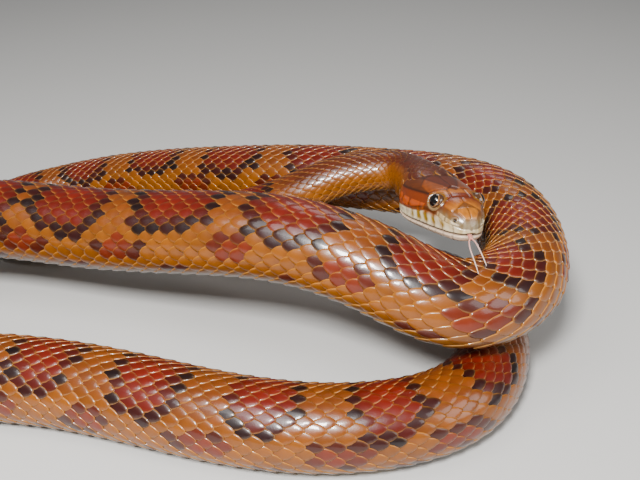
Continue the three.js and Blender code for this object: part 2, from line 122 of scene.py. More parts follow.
# smooth value of a table of rows at a place, as the solids read it
def lookup(table, at, column=1):
    rows = np.array(table, float)
    xs = rows[:, 0]
    ys = rows[:, column]
    at = np.clip(np.asarray(at, float), xs[0], xs[-1])
    slopes = np.gradient(ys, xs)
    slopes[1:-1] = (ys[2:] - ys[:-2]) / (xs[2:] - xs[:-2])
    i = np.clip(np.searchsorted(xs, at, side="right") - 1, 0, len(xs) - 2)
    h = xs[i + 1] - xs[i]
    t = (at - xs[i]) / h
    rise = ys[i + 1] - ys[i]
    m0 = slopes[i] * h
    m1 = slopes[i + 1] * h
    return ys[i] + m0 * t + (m0 - 2 * rise + m1) * t ** 3 + (3 * rise - 2 * m0 - m1) * t ** 2


def smooth(low, high, value):
    t = np.clip((np.asarray(value, float) - low) / (high - low), 0, 1)
    return t * t * (3 - 2 * t)


def unit(v):
    return v / np.linalg.norm(v, axis=-1, keepdims=True)


# unit vector from the neck joint to the snout
yaw = math.radians(pose["yaw"])
pitch = math.radians(pose["pitch"])
headForward = np.array([math.sin(yaw) * math.cos(pitch), -math.cos(yaw) * math.cos(pitch), math.sin(pitch)])
headJoint = np.array(pose["joint"], float)


# natural cubic spline through the points, sampled finely by length
def makeCentreLine():
    points = [headJoint + headForward * d for d in (35.5, 24, 12, 0)]
    points = np.array(points + [np.array(p, float) for p in route])
    n = len(points)
    knots = np.concatenate([[0], np.cumsum(np.linalg.norm(np.diff(points, axis=0), axis=1))])
    h = np.diff(knots)
    matrix = np.eye(n)
    kinks = np.zeros((n, 3))
    for i in range(1, n - 1):
        matrix[i, i - 1:i + 2] = (h[i - 1], 2 * (h[i - 1] + h[i]), h[i])
        kinks[i] = 6 * ((points[i + 1] - points[i]) / h[i] - (points[i] - points[i - 1]) / h[i - 1])
    second = np.linalg.solve(matrix, kinks)
    t = np.arange(0, knots[-1], 0.25)
    i = np.clip(np.searchsorted(knots, t, side="right") - 1, 0, n - 2)
    a = ((knots[i + 1] - t) / h[i])[:, None]
    b = ((t - knots[i]) / h[i])[:, None]
    bend = (a ** 3 - a) * second[i] + (b ** 3 - b) * second[i + 1]
    samples = a * points[i] + b * points[i + 1] + bend * (h[i] ** 2)[:, None] / 6
    lengths = np.concatenate([[0], np.cumsum(np.linalg.norm(np.diff(samples, axis=0), axis=1))])
    return samples, lengths


lineSamples, lineLengths = makeCentreLine()
totalLength = lineLengths[-1]


def pointAt(s):
    return np.stack([np.interp(s, lineLengths, lineSamples[:, k]) for k in range(3)], axis=-1)


# place, left and up directions of the body at distances from the snout
def frameAt(s):
    s = np.asarray(s, float)
    along = unit(pointAt(np.minimum(s + 1, totalLength)) - pointAt(np.maximum(s - 1, 0)))
    plainUp = unit(np.array([0, 0, 1.0]) - along * along[..., 2:3])
    plainLeft = np.cross(along, plainUp)
    lean = np.radians(lookup(rolls, s))[..., None]
    up = plainUp * np.cos(lean) + plainLeft * np.sin(lean)
    return pointAt(s), np.cross(along, up), up


headLeft, headUp = frameAt(10.0)[1:]


def headPoint(x, y, z):
    x, y, z = (np.asarray(v, float)[..., None] for v in (x, y, z))
    return headJoint + headForward * x + headLeft * y + headUp * z


# across and height of the head section; share runs from 0 at the crown to 1 at the chin
def headSection(x, share):
    top, bottom, widest, middle, lips, mouth = (lookup(headStations, x, k) for k in range(1, 7))
    x, share = np.broadcast_arrays(x, share)
    quarter = np.clip(share / 0.5, 0, 1) * math.pi / 2
    topAcross = widest * np.sin(quarter) ** (2 / shape["topPower"])
    topHeight = middle + (top - middle) * np.clip(np.cos(quarter), 0, 1) ** (2 / shape["topPower"])
    lipShare = np.clip((share - 0.5) / (shape["mouthShare"] - 0.5), 0, 1)
    sideAcross = widest - (widest - lips) * lipShare ** 2
    sideHeight = middle + (mouth - middle) * lipShare
    low = np.clip((share - shape["mouthShare"]) / (1 - shape["mouthShare"]), 0, 1) * math.pi / 2
    lowAcross = lips * np.clip(np.cos(low), 0, 1) ** (2 / shape["jawPower"])
    lowHeight = mouth - (mouth - bottom) * np.sin(low) ** (2 / shape["jawPower"])
    across = np.where(share < 0.5, topAcross, np.where(share < shape["mouthShare"], sideAcross, lowAcross))
    height = np.where(share < 0.5, topHeight, np.where(share < shape["mouthShare"], sideHeight, lowHeight))
    return across, height


# points of the pose, in mm, as places in the frame, in m
def inFrame(points):
    return (points + np.array(pose["shift"])) * mm


# quads of a grid of points; closed joins its last column to the first, order -1 turns them over
def gridFaces(rows, columns, start=0, closed=False, order=1):
    faces = []
    for r in range(rows - 1):
        for c in range(columns if closed else columns - 1):
            a = start + r * columns + c
            b = start + r * columns + (c + 1) % columns
            faces.append((a, b, b + columns, a + columns)[::order])
    return faces


# point of the bare skin; turn is 0 on the back, 0.5 on the belly, positive to the left
def skinPoint(s, turn):
    s, turn = np.broadcast_arrays(np.asarray(s, float), np.asarray(turn, float))
    at, left, up = frameAt(s)
    coatShare = smooth(*shape["coatFrom"], s) * smooth(totalLength, totalLength - shape["coatEnd"], s)
    radius = lookup(radii, s) - shape["coatDepth"] * coatShare
    angle = turn * 2 * math.pi
    c = np.cos(angle)
    w = np.sin(angle)
    lowPower = 2 / shape["bellyPower"]
    across = radius * shape["widthShare"] * np.where(c < 0, np.sign(w) * np.abs(w) ** lowPower, w)
    height = radius * np.where(c < 0, -shape["bellyShare"] * np.abs(c) ** lowPower, shape["backShare"] * c)
    body = at + left * across[..., None] + up * height[..., None]
    fold = np.abs((turn + 0.5) % 1 - 0.5)
    side = np.where((turn + 0.5) % 1 - 0.5 < 0, -1, 1)
    onHead = shape["headOffset"] - s
    headAcross, headHeight = headSection(onHead, np.clip(fold * 2, 0, 1))
    head = headPoint(onHead, headAcross * side, headHeight)
    share = smooth(*shape["headJoin"], s)[..., None]
    point = body * share + head * (1 - share)
    point[..., 2] = np.maximum(point[..., 2], shape["floorGap"])
    return inFrame(point)


print("centre line", round(float(totalLength)), "mm")


def newMesh(name, points, faces):
    mesh = bpy.data.meshes.new(name)
    mesh.from_pydata([tuple(p) for p in points], [], [tuple(f) for f in faces])
    mesh.update()
    mesh.shade_smooth()
    made = bpy.data.objects.new(name, mesh)
    bpy.context.collection.objects.link(made)
    return made


def setAttribute(mesh, name, kind, domain, values):
    layer = mesh.attributes.new(name, kind, domain)
    field = {"FLOAT": "value", "FLOAT2": "vector", "FLOAT_VECTOR": "vector", "FLOAT_COLOR": "color"}[kind]
    layer.data.foreach_set(field, np.asarray(values, np.float32).ravel())


def setTint(mesh, colours):
    tints = np.hstack([colours, np.ones((len(colours), 1))])
    setAttribute(mesh, "tint", "FLOAT_COLOR", "POINT", tints)


def setUv(mesh, values):
    layer = mesh.uv_layers.new(name="OFBake")
    corners = np.zeros(len(mesh.loops), np.int32)
    mesh.loops.foreach_get("vertex_index", corners)
    layer.data.foreach_set("uv", np.asarray(values, np.float32)[corners].ravel())


def srgb(r, g, b):
    c = np.array([r, g, b], float) / 255
    return np.where(c <= 0.04045, c / 12.92, ((c + 0.055) / 1.055) ** 2.4)


def blendColours(a, b, share):
    share = np.asarray(share, float)[..., None]
    return a * (1 - share) + b * share


# colours and markings of the coat
coat = {
    "back": srgb(104, 49, 4),
    "flank": srgb(120, 65, 2),
    "low": srgb(82, 51, 2),
    "belly": srgb(206, 182, 134),
    "saddle": srgb(92, 16, 2),
    "saddleEdge": srgb(18, 5, 5),
    "blotch": srgb(100, 30, 4),
    "nape": srgb(70, 24, 10),
    "saddleTurn": 0.185,
    "saddlePower": 3.2,
    "blotchTurn": 0.242,
    "blotchSize": (7.5, 0.05),   # half length in mm and half breadth in turns
    "checkTurn": 0.33,
    "checkSize": (4.5, 0.03),
    "period": 31.0,
}

# saddles that show in the photo, place along and half length, in mm from the snout
seenSaddles = [
    (266, 11), (299, 12), (334, 12), (368, 11), (402, 10), (431, 9), (458, 11), (486, 9),
    (512, 12), (548, 13), (583.5, 14.5), (621, 14), (650, 9),
]
frontSaddles = [(104, 11), (137, 11), (170, 11), (203, 11), (235, 10)]
rearSaddles = [(681 + coat["period"] * k, 10.5 - 0.22 * k) for k in range(17)]
saddles = frontSaddles + seenSaddles + rearSaddles


def noiseAt(s, turn, seed):
    value = np.sin(s * 12.9898 + turn * 78.233 + seed * 37.719) * 43758.5453
    return value - np.floor(value)


# colour of the coat at places along the body and round it
def coatColour(s, turn):
    s, turn = np.broadcast_arrays(np.asarray(s, float), np.asarray(turn, float))
    side = np.where(turn < 0, -1.0, 1.0)
    out = np.abs(turn)
    grain = noiseAt(s, turn, 1)
    colour = blendColours(coat["back"], coat["flank"], smooth(0.08, 0.24, out + 0.03 * (grain - 0.5)))
    colour = blendColours(colour, coat["low"], smooth(0.28, 0.42, out))
    wobble = 0.10 * np.sin(s * 0.9 + side * 1.7) + 0.16 * (noiseAt(s, turn, 2) - 0.5)
    power = coat["saddlePower"]
    for place, half in saddles:
        reach = coat["saddleTurn"] * (1 + 0.08 * math.sin(place * 1.3))
        rim = ((np.abs(s - place) / half) ** power + (out / reach) ** power) ** (1 / power) + wobble * 0.4
        inside = rim < 1.06
        dark = smooth(0.72, 0.9, rim)
        inner = blendColours(coat["saddle"] * 1.15, coat["saddle"] * 0.8, smooth(0, 0.8, rim))
        shade = blendColours(inner, coat["saddleEdge"], dark * (0.78 + 0.22 * noiseAt(s, turn, 3)))
        colour = np.where(inside[..., None], shade, colour)
    places = sorted(place for place, half in saddles)
    long, wide = coat["blotchSize"]
    checkLong, checkWide = coat["checkSize"]
    for k in range(len(places) - 1):
        middle = (places[k] + places[k + 1]) / 2 + 2 * math.sin(k * 2.1)
        blotch = np.hypot((s - middle - side * 1.5) / long, (out - coat["blotchTurn"]) / wide) + wobble
        shade = blendColours(coat["blotch"], coat["saddleEdge"], smooth(0.6, 1.0, blotch) * 0.75)
        colour = np.where((blotch < 1.05)[..., None], shade, colour)
        check = np.hypot((s - places[k] - side * 2) / checkLong, (out - coat["checkTurn"]) / checkWide)
        shade = blendColours(coat["saddleEdge"], coat["blotch"], 0.35)
        colour = np.where((check + wobble < 1.0)[..., None], shade, colour)
    napeShare = smooth(96, 80, s) * smooth(0.16, 0.12, out + 0.02 * (grain - 0.5)) * smooth(18, 26, s)
    colour = blendColours(colour, coat["nape"] * (0.75 + 0.5 * grain[..., None]), napeShare * 0.85)
    return colour * (0.84 + 0.32 * noiseAt(s, turn, 4)[..., None])


# closed tube of the bare body, for the render's skin
skinSizes = {"from": 31.0, "step": 2.5, "columns": 44}


def makeBodySkin():
    places = np.arange(skinSizes["from"], totalLength - 1.6, skinSizes["step"])
    turns = np.arange(skinSizes["columns"]) / skinSizes["columns"] - 0.5
    rings = skinPoint(places[:, None], turns[None, :])
    n = len(turns)
    points = list(rings.reshape(-1, 3))
    faces = gridFaces(len(places), n, closed=True)
    for r in (0, len(places) - 1):
        points.append(rings[r].mean(axis=0))
        hub = len(points) - 1
        for c in range(n):
            a, b = r * n + c, r * n + (c + 1) % n
            faces.append((b, a, hub) if r == 0 else (a, b, hub))
    skin = newMesh("bodySkin", points, faces)
    colours = coatColour(places[:, None], turns[None, :]) * 0.55
    flat = np.concatenate([colours.reshape(-1, 3), colours[[0, -1], 0]])
    setTint(skin.data, flat)
    uvs = np.stack(np.broadcast_arrays(places[:, None] / shape["flatLength"], turns[None, :] + 0.5), axis=-1)
    uvs = np.concatenate([uvs.reshape(-1, 2), uvs[[0, -1], 0]])
    setUv(skin.data, uvs)
    return skin


# sheet of bare skin with its unwrap, which the scales are laid on and which is then taken away;
# it overlaps itself under the belly, so that no scale reaches past its edge
guideSizes = {"from": 6.0, "step": 1.6, "turns": (-0.62, 0.66), "columns": 94}


def makeGuide():
    places = np.arange(guideSizes["from"], totalLength - 0.5, guideSizes["step"])
    turns = np.linspace(*guideSizes["turns"], guideSizes["columns"])
    grid = skinPoint(places[:, None], turns[None, :])
    alongStep = np.gradient(grid, axis=0)
    roundStep = np.gradient(grid, axis=1)
    out = unit(np.cross(alongStep, roundStep))
    inner = inFrame(pointAt(places))
    facing = np.sign(np.sum((grid - inner[:, None]) * out, axis=-1, keepdims=True))
    out = out * facing
    guide = newMesh("guide", grid.reshape(-1, 3), gridFaces(len(places), len(turns)))
    flat = np.stack(np.broadcast_arrays(places[:, None] / shape["flatLength"], turns[None, :]), axis=-1)
    setAttribute(guide.data, "flat", "FLOAT2", "POINT", flat.reshape(-1, 2))
    setAttribute(guide.data, "out", "FLOAT_VECTOR", "POINT", out.reshape(-1, 3))
    return guide


# one scale, root at 0 and tip at 1, one wide and one thick; the tree gives it its real size
scaleEdges = {
    "keelHalf": 0.4,
    "rimFrom": 0.55,       # the margin starts at this share of the half width
    "tipFrom": 0.86,
    "base": (0.97, 0.96, -0.75),   # length, breadth and height of the underside
    "baseSpread": 1.12,    # the underside lies this much wider on the patch
    "margin": 0.06,
}


def makeScaleShape(name, places, shares, half, lift, crownDrop=0.0, keel=0.0):
    points, patch, rim = [], [], []
    margin, rimFrom, tipFrom = (scaleEdges[key] for key in ("margin", "rimFrom", "tipFrom"))
    baseLong, baseWide, baseHeight = scaleEdges["base"]
    for x in places:
        for share in shares:
            ridge = keel * (1 - min(1, abs(share) / scaleEdges["keelHalf"])) * (x > 0.1)
            high = lift(x) - crownDrop * share * share * max(0.0, lift(x)) + ridge
            points.append((x, share * half(x), high))
            patch.append((margin + (1 - 2 * margin) * x, 0.5 + share * half(x) * 0.86))
            edge = max(0.0, (abs(share) - rimFrom) / (1 - rimFrom))
            tip = max(0.0, (x - tipFrom) / (1 - tipFrom))
            rim.append(min(1.0, max(edge, tip)))
    rows, columns = len(places), len(shares)
    faces = [(r * columns + c, (r + 1) * columns + c, (r + 1) * columns + c + 1, r * columns + c + 1)
             for r in range(rows - 1) for c in range(columns - 1)]
    loop = [c for c in range(columns)] + [r * columns + columns - 1 for r in range(1, rows)]
    loop += [(rows - 1) * columns + c for c in range(columns - 2, -1, -1)]
    loop += [r * columns for r in range(rows - 2, 0, -1)]
    base = len(points)
    for i in loop:
        x, y = points[i][:2]
        points.append((x * baseLong + 0.01, y * baseWide, baseHeight))
        patch.append(tuple(0.5 + (value - 0.5) * scaleEdges["baseSpread"] for value in patch[i]))
        rim.append(1.0)
    count = len(loop)
    for k in range(count):
        faces.append((loop[k], loop[(k + 1) % count], base + (k + 1) % count, base + k))
    faces.append(tuple(base + k for k in range(count)))
    made = newMesh(name, points, faces)
    setAttribute(made.data, "patch", "FLOAT2", "POINT", patch)
    setAttribute(made.data, "rim", "FLOAT", "POINT", rim)
    setAttribute(made.data, "across", "FLOAT", "POINT", [p[1] for p in points])
    setAttribute(made.data, "along", "FLOAT", "POINT", [p[0] for p in points])
    return made


# puts a copy of a scale on each root of the unwrap and wraps the lot onto the guide
def makeLayingTree():
    tree = bpy.data.node_groups.new("layScales", "GeometryNodeTree")
    face = tree.interface
    face.new_socket("Geometry", in_out="INPUT", socket_type="NodeSocketGeometry")
    for name, kind in (("Guide", "Object"), ("Scale", "Object"), ("Finish", "Material")):
        face.new_socket(name, in_out="INPUT", socket_type="NodeSocket" + kind)
    for name, value in (("Thickness", 1.0), ("Length", 1.0), ("Ruffle", 0.06)):
        face.new_socket(name, in_out="INPUT", socket_type="NodeSocketFloat").default_value = value
    face.new_socket("Seed", in_out="INPUT", socket_type="NodeSocketInt").default_value = 7
    face.new_socket("Geometry", in_out="OUTPUT", socket_type="NodeSocketGeometry")

    # a node with its settings, its inputs fed by name from sockets or plain values
    def add(kind, feeds=(), **settings):
        node = tree.nodes.new(kind)
        for key, value in settings.items():
            setattr(node, key, value)
        for key, value in dict(feeds).items():
            target = node.inputs[key] if isinstance(key, int) else live(node.inputs, key)
            if isinstance(value, bpy.types.NodeSocket):
                tree.links.new(value, target)
            else:
                target.default_value = value
        return node

    # the socket of that name that the node's settings leave in use
    def live(sockets, name):
        return [s for s in sockets if s.name == name and s.enabled][0]

    def attribute(name):
        node = add("GeometryNodeInputNamedAttribute", {"Name": name}, data_type="FLOAT_VECTOR")
        return live(node.outputs, "Attribute")

    def vector(operation, a, b):
        feeds = {0: a, "Scale" if operation == "SCALE" else 1: b}
        return add("ShaderNodeVectorMath", feeds, operation=operation).outputs["Vector"]

    given = add("NodeGroupInput").outputs
    skin = add("GeometryNodeObjectInfo", {"Object": given["Guide"]}).outputs["Geometry"]
    scale = add("GeometryNodeObjectInfo", {"Object": given["Scale"]}).outputs["Geometry"]
    sizes = add("ShaderNodeCombineXYZ", {"X": given["Length"], "Y": 1, "Z": given["Thickness"]}).outputs[0]
    limits = {"Seed": given["Seed"]}
    for key, sign in (("Min", -1), ("Max", 1)):
        reach = add("ShaderNodeMath", {0: given["Ruffle"], 1: sign, 2: 1}, operation="MULTIPLY_ADD")
        limits[key] = reach.outputs[0]
    luck = live(add("FunctionNodeRandomValue", limits, data_type="FLOAT").outputs, "Value")
    scaled = vector("MULTIPLY", vector("SCALE", attribute("size"), luck), sizes)
    lay = add("GeometryNodeInstanceOnPoints",
              {"Points": given["Geometry"], "Instance": scale, "Scale": scaled})
    real = add("GeometryNodeRealizeInstances", {"Geometry": lay.outputs["Instances"]})
    flatPlace = add("GeometryNodeInputPosition").outputs[0]

    def onGuide(value):
        sample = add("GeometryNodeSampleUVSurface", data_type="FLOAT_VECTOR")
        uvName = [i.name for i in sample.inputs if i.name in ("UV Map", "Source UV Map")][0]
        feeds = {"Mesh": skin, "Value": value, uvName: attribute("flat"), "Sample UV": flatPlace}
        for key, source in feeds.items():
            tree.links.new(source, live(sample.inputs, key))
        return live(sample.outputs, "Value")

    height = add("ShaderNodeSeparateXYZ", {0: flatPlace}).outputs["Z"]
    outward = vector("SCALE", onGuide(attribute("out")), height)
    landed = vector("ADD", onGuide(add("GeometryNodeInputPosition").outputs[0]), outward)
    centred = vector("SUBTRACT", attribute("patch"), (0.5, 0.5, 0))
    placed = vector("ADD", vector("MULTIPLY", centred, attribute("cellSize")), attribute("cell"))
    keepUv = add("GeometryNodeStoreNamedAttribute",
                 {"Geometry": real.outputs["Geometry"], "Name": "OFBake", "Value": placed},
                 data_type="FLOAT2", domain="CORNER")
    move = add("GeometryNodeSetPosition", {"Geometry": keepUv.outputs["Geometry"], "Position": landed})
    finish = add("GeometryNodeSetMaterial",
                 {"Geometry": move.outputs["Geometry"], "Material": given["Finish"]})
    add("NodeGroupOutput", {"Geometry": finish.outputs["Geometry"]})
    return tree


# a mesh of the roots with their sizes, tints and patches, turned into scales by the tree
def layScales(name, roots, scaleShape, finish, ruffle, seed):
    made = newMesh(name + "Roots", roots["at"], [])
    for key in ("size", "cell", "cellSize"):
        setAttribute(made.data, key, "FLOAT_VECTOR", "POINT", roots[key])
    setTint(made.data, roots["tint"])
    setAttribute(made.data, "luck", "FLOAT", "POINT", roots["luck"])
    modifier = made.modifiers.new("lay", "NODES")
    modifier.node_group = layingTree
    values = {"Guide": guide, "Scale": scaleShape, "Finish": finish, "Thickness": 1.0,
              "Length": 1.0, "Ruffle": ruffle, "Seed": seed}
    for item in layingTree.interface.items_tree:
        if item.in_out == "INPUT" and item.name in values:
            modifier[item.identifier] = values[item.name]
    made.update_tag()
    depsgraph = bpy.context.evaluated_depsgraph_get()
    depsgraph.update()
    laid = made.evaluated_get(depsgraph)
    mesh = bpy.data.meshes.new_from_object(laid, preserve_all_data_layers=True, depsgraph=depsgraph)
    mesh.name = name
    piece = bpy.data.objects.new(name, mesh)
    bpy.context.collection.objects.link(piece)
    bpy.data.objects.remove(made)
    mesh.shade_smooth()
    print(name, len(mesh.polygons), "faces")
    return piece


# rows of dorsal scales, overlapping toward the tail, in quincunx
scaleRows = {
    "pitch": 4.9,          # where the body has the radius below
    "pitchRadius": 12.6,
    "pitchPower": 0.72,
    "overlap": 1.5,
    "breadth": 1.93,
    "thickness": 0.5,
    "thicknessRadius": 12,
    "thicknessPower": 0.8,
    "reach": 0.395,        # rows run this far round each side
    "crowding": 0.08,      # rows lie this much closer on the back
    "endRoom": 1.6,        # pitches kept free at the tip of the tail
    "ruffle": 0.05,
    "seed": 11,
    # from, to and number of rows; each is a piece, kept under the limit of triangles
    "stretches": [(24, 180, 27), (180, 330, 27), (330, 560, 27), (560, 770, 27), (770, 975, 27),
                  (975, 1060, 21), (1060, 1140, 15), (1140, 1201, 11)],
    # the scales give way to the head's shields here: turn from the back, first place
    "headEdge": [(0.13, 25.2), (0.235, 27.5), (0.31, 32.0), (0.5, 26.0)],
}


# local length of a scale
def pitchAt(s):
    girth = np.clip(lookup(radii, s), 1.0, 13) / scaleRows["pitchRadius"]
    return scaleRows["pitch"] * girth ** scaleRows["pitchPower"]


pitchPlaces = np.arange(0, totalLength, 0.5)
pitchCount = np.concatenate([[0], np.cumsum(0.5 / pitchAt(pitchPlaces))[:-1]])


# fields of the roots, with their places on the unwrap and on the piece's own patch map
def rootFields(s, turn, breadth, thin, sizes, stretch, across, tint, seed):
    start, end = stretch
    flat = shape["flatLength"]
    patch = shape["patchAcross"]
    return {
        "at": np.stack([s / flat, turn, 0 * s], axis=1),
        "size": np.stack([pitchAt(s) * sizes["overlap"] / flat, breadth, thin * mm], axis=1),
        "cell": np.stack([(s - start) / (end - start) * 0.96 + 0.02, across, 0 * s], axis=1),
        "cellSize": np.tile([patch, patch, 0], (len(s), 1)),
        "tint": tint,
        "luck": noiseAt(s, turn, seed),
    }


def makeRoots(start, end, rows):
    reach, crowding = scaleRows["reach"], scaleRows["crowding"]
    low, high = np.interp([start, end], pitchPlaces, pitchCount)
    spacing = 2 * reach / (rows - 1)
    found = []
    for j in range(rows):
        t = 2 * j / (rows - 1) - 1
        turn = reach * ((1 - crowding) * t + crowding * t ** 3)
        breadth = spacing * (1 - crowding + 3 * crowding * t * t)
        counts = np.arange(math.floor(low), math.ceil(high)) + 0.5 * (j % 2)
        counts = counts[(counts >= low) & (counts < high)]
        places = np.interp(counts, pitchCount, pitchPlaces)
        for s in places:
            found.append((s, turn, breadth))
    s, turn, breadth = np.array(found).T
    out = np.abs(turn)
    edges = np.array(scaleRows["headEdge"])
    limit = edges[np.searchsorted(edges[:, 0], out, side="right"), 1]
    keep = (s > limit) & (s + scaleRows["endRoom"] * pitchAt(s) < totalLength - 1)
    s, turn, breadth = s[keep], turn[keep], breadth[keep]
    girth = np.clip(lookup(radii, s) / scaleRows["thicknessRadius"], 0.35, 1.1)
    thin = scaleRows["thickness"] * girth ** scaleRows["thicknessPower"]
    tint = coatColour(s + pitchAt(s) * 0.6, turn)
    return rootFields(s, turn, breadth * scaleRows["breadth"], thin, scaleRows, (start, end),
                      turn + 0.5, tint, 9)


# belly plates, one wide scute after another from the throat to the vent
scuteSizes = {"from": 40.0, "to": 1196, "overlap": 1.3, "breadth": 0.215, "thickness": 0.3, "ruffle": 0.01,
              "seed": 7}


def makeScuteRoots(start, end):
    low, high = np.interp([start, end], pitchPlaces, pitchCount)
    counts = np.arange(math.ceil(low), math.floor(high))
    s = np.interp(counts, pitchCount, pitchPlaces)
    middle = 0 * s + 0.5
    tint = np.tile(coat["belly"], (len(s), 1))
    return rootFields(s, middle, 0 * s + scuteSizes["breadth"], 0 * s + scuteSizes["thickness"], scuteSizes,
                      (start, end), middle, tint, 5)


# outline and height of a dorsal scale: rounded, widest past its middle, tip turned down
dorsalShape = {
    "places": [0.0, 0.2, 0.42, 0.62, 0.8, 0.92, 0.99],
    "shares": [-1, -0.74, 0, 0.74, 1],
    "widestAt": 0.45,
    "tipAt": 0.85,
    "crownDrop": 0.42,
    "keel": 0.07,
}


def dorsalHalf(x):
    w = dorsalShape["widestAt"]
    if x > w:
        return max(0.07, 0.5 * (1 - ((x - w) / (1 - w)) ** 2) ** 0.72)
    return 0.5 - 0.2 * ((w - x) / w) ** 1.4


def dorsalLift(x):
    tip = dorsalShape["tipAt"]
    return -0.5 + 1.55 * min(1, x / tip) ** 0.9 - 0.25 * max(0, x - tip) / (1 - tip)


# outline and height of a belly scute: a broad plate that rises to its rear edge
scuteShape = {
    "places": [0.0, 0.3, 0.6, 0.85, 1.0],
    "shares": [-1, -0.92, -0.75, -0.5, -0.25, 0, 0.25, 0.5, 0.75, 0.92, 1],
}


def scuteHalf(x):
    return 0.485 if x == 1.0 else 0.5


def scuteLift(x):
    return -0.6 + 1.5 * x


# shields of the head, outlines along and to the side, on the crown; along and up, on the cheek
crownShields = [
    [(34.6, 0.06), (34.4, 1.8), (32.2, 3.15), (31.15, 2.8), (31.0, 0.06)],
    [(30.95, 0.06), (31.1, 2.85), (31.9, 4.1), (28.5, 5.6), (27.2, 4.5), (26.95, 2.7), (26.9, 0.06)],
    [(26.85, 2.8), (27.15, 4.5), (26.9, 6.1), (24.2, 7.2), (21.4, 7.1), (21.1, 4.9), (22.5, 2.5)],
    [(20.0, 0.06), (22.0, 2.2), (21.2, 4.85), (20.8, 6.9),
     (15.4, 7.0), (11.8, 4.7), (10.6, 2.0), (11.4, 0.06)],
    [(26.9, -3), (26.85, 2.65), (22.5, 2.3), (20.2, 0.0), (17.5, -3)],
]
cheekShields = [
    [(27.5, -0.6), (27.3, 3.6), (28.3, 3.4), (28.3, -0.6)],
    [(28.4, -0.4), (30.4, -0.4), (30.5, 2.2), (28.4, 3.1)],
    [(30.6, -0.5), (34.3, -0.6), (34.2, 1.4), (30.7, 2.3)],
    [(21.9, -1.0), (22.3, 3.6), (20.3, 3.4), (20.0, 1.2), (20.4, -1.0)],
    [(16.2, -1.4), (19.8, -1.2), (20.2, 1.0), (19.8, 1.8), (16.0, 1.6), (15.4, 0.2)],
    [(16.0, 1.8), (20.0, 2.0), (20.3, 4.4), (15.6, 4.4), (15.0, 3.0)],
    [(11.6, -1.6), (16.0, -1.6), (15.2, 0.2), (15.8, 1.5), (12.2, 1.3), (11.0, 0.0)],
    [(11.4, 1.6), (15.8, 1.8), (14.8, 3.0), (15.4, 4.5), (11.0, 4.2), (10.4, 3.0)],
    [(7.8, -1.8), (11.4, -1.8), (10.8, 0.0), (11.8, 1.3), (8.4, 1.2), (7.2, -0.2)],
    [(7.4, 1.5), (11.2, 1.5), (10.2, 3.0), (10.8, 4.2), (7.2, 4.2), (6.6, 3.0)],
]


# how far a point lies inside an outline, negative outside
def insideOutline(outline, a, b):
    corners = np.array(outline)
    centre = corners.mean(axis=0)
    best = np.full(a.shape, 99.0)
    for k in range(len(corners)):
        p, q = corners[k], corners[(k + 1) % len(corners)]
        out = np.array([q[1] - p[1], p[0] - q[0]]) / np.linalg.norm(q - p)
        if np.dot(out, centre - p) > 0:
            out = -out
        best = np.minimum(best, (p[0] - a) * out[0] + (p[1] - b) * out[1])
    return best


eye = {"at": (24.9, 5.85, 3.4), "radius": 2.2, "axis": (0.14, 0.9, 0.41), "rings": 40, "around": 56}

headGrid = {
    "from": -5,
    "fineFrom": 33,        # rings lie closer from here to the snout
    "step": 0.2,
    "fineStep": 0.08,
    "columns": 150,        # round half the head
    "cap": (0.9, 0.75, 0.55, 0.3, 0.12),
    "capBulge": 0.16,
    "middle": -1.5,        # height of the axis that the head goes round
    "inset": 0.12,         # the sutures lie this far inside the solid
    "unwrapLength": 41,
    "weld": 0.02,
}

shieldSizes = {
    "crownShare": 0.42,    # share of the half ring that is crown
    "rise": 0.2,
    "edge": 0.32,
    "suture": 0.24,
    "lipsFrom": 7.6,
    "lipsShare": 0.36,
    "lipTop": [(6, 2.3), (14, 2.8), (19, 3.2), (23, 3.9), (27.5, 3.9), (30, 3.0), (33, 2.3), (35, 1.6)],
    "lowerDepth": 1.9,
    "upper": (8.2, 3.15, 0.2),    # first seam, step and slant
    "lower": (8.0, 2.8, -0.25),
    "lipGap": 0.1,
}

socket = {
    "inner": 2.03,
    "outer": 2.9,
    "ringRise": 0.3,
    "ringSeams": 8,
    "ringCrest": 2.45,
    "ringHalf": 0.45,
    "ringSeamDepth": 0.1,
    "ringSeamHalf": 0.04,
    "sink": 1.6,
    "sinkFrom": (2.1, 1.95),
    "browLine": [(20, 6.9), (24, 6.5), (28, 5.4)],
    "browReach": (20, 22.5, 26.5, 29),
    "browRise": 0.42,
    "browHalf": (1.6, 0.2),
    "browFrom": 2.4,       # from the eye's axis
}

nostril = {"at": (33.1, 4.2, 0.8), "depth": 0.9, "wall": (0.62, 0.3), "rim": 0.95, "rimRise": 0.12}

mouthSizes = {
    "depth": 0.75,
    "half": 0.2,
    "corner": (6.4, 8.2),
    "lipRise": 0.14,
    "lipAt": 0.62,
    "lipHalf": 0.42,
    "notch": 0.6,          # opening for the tongue
    "notchHalf": 0.5,
    "notchAcross": (1.5, 0.9),
    "notchAlong": (34.2, 34.9),
    "groove": 0.22,        # furrow along the chin
    "grooveHalf": 0.25,
    "grooveAlong": (14, 18, 31, 33),
    "grooveFrom": 0.8,
}


# shares of 1 between two places, with soft ends
def band(places, value):
    return smooth(places[0], places[1], value) * smooth(places[3], places[2], value)


def bell(value, half):
    return np.exp(-(value / half) ** 2)


# distance to the nearest of evenly spaced seams
def seamDistance(value, first, step):
    share = (value - first) / step
    return np.abs(share - np.round(share)) * step


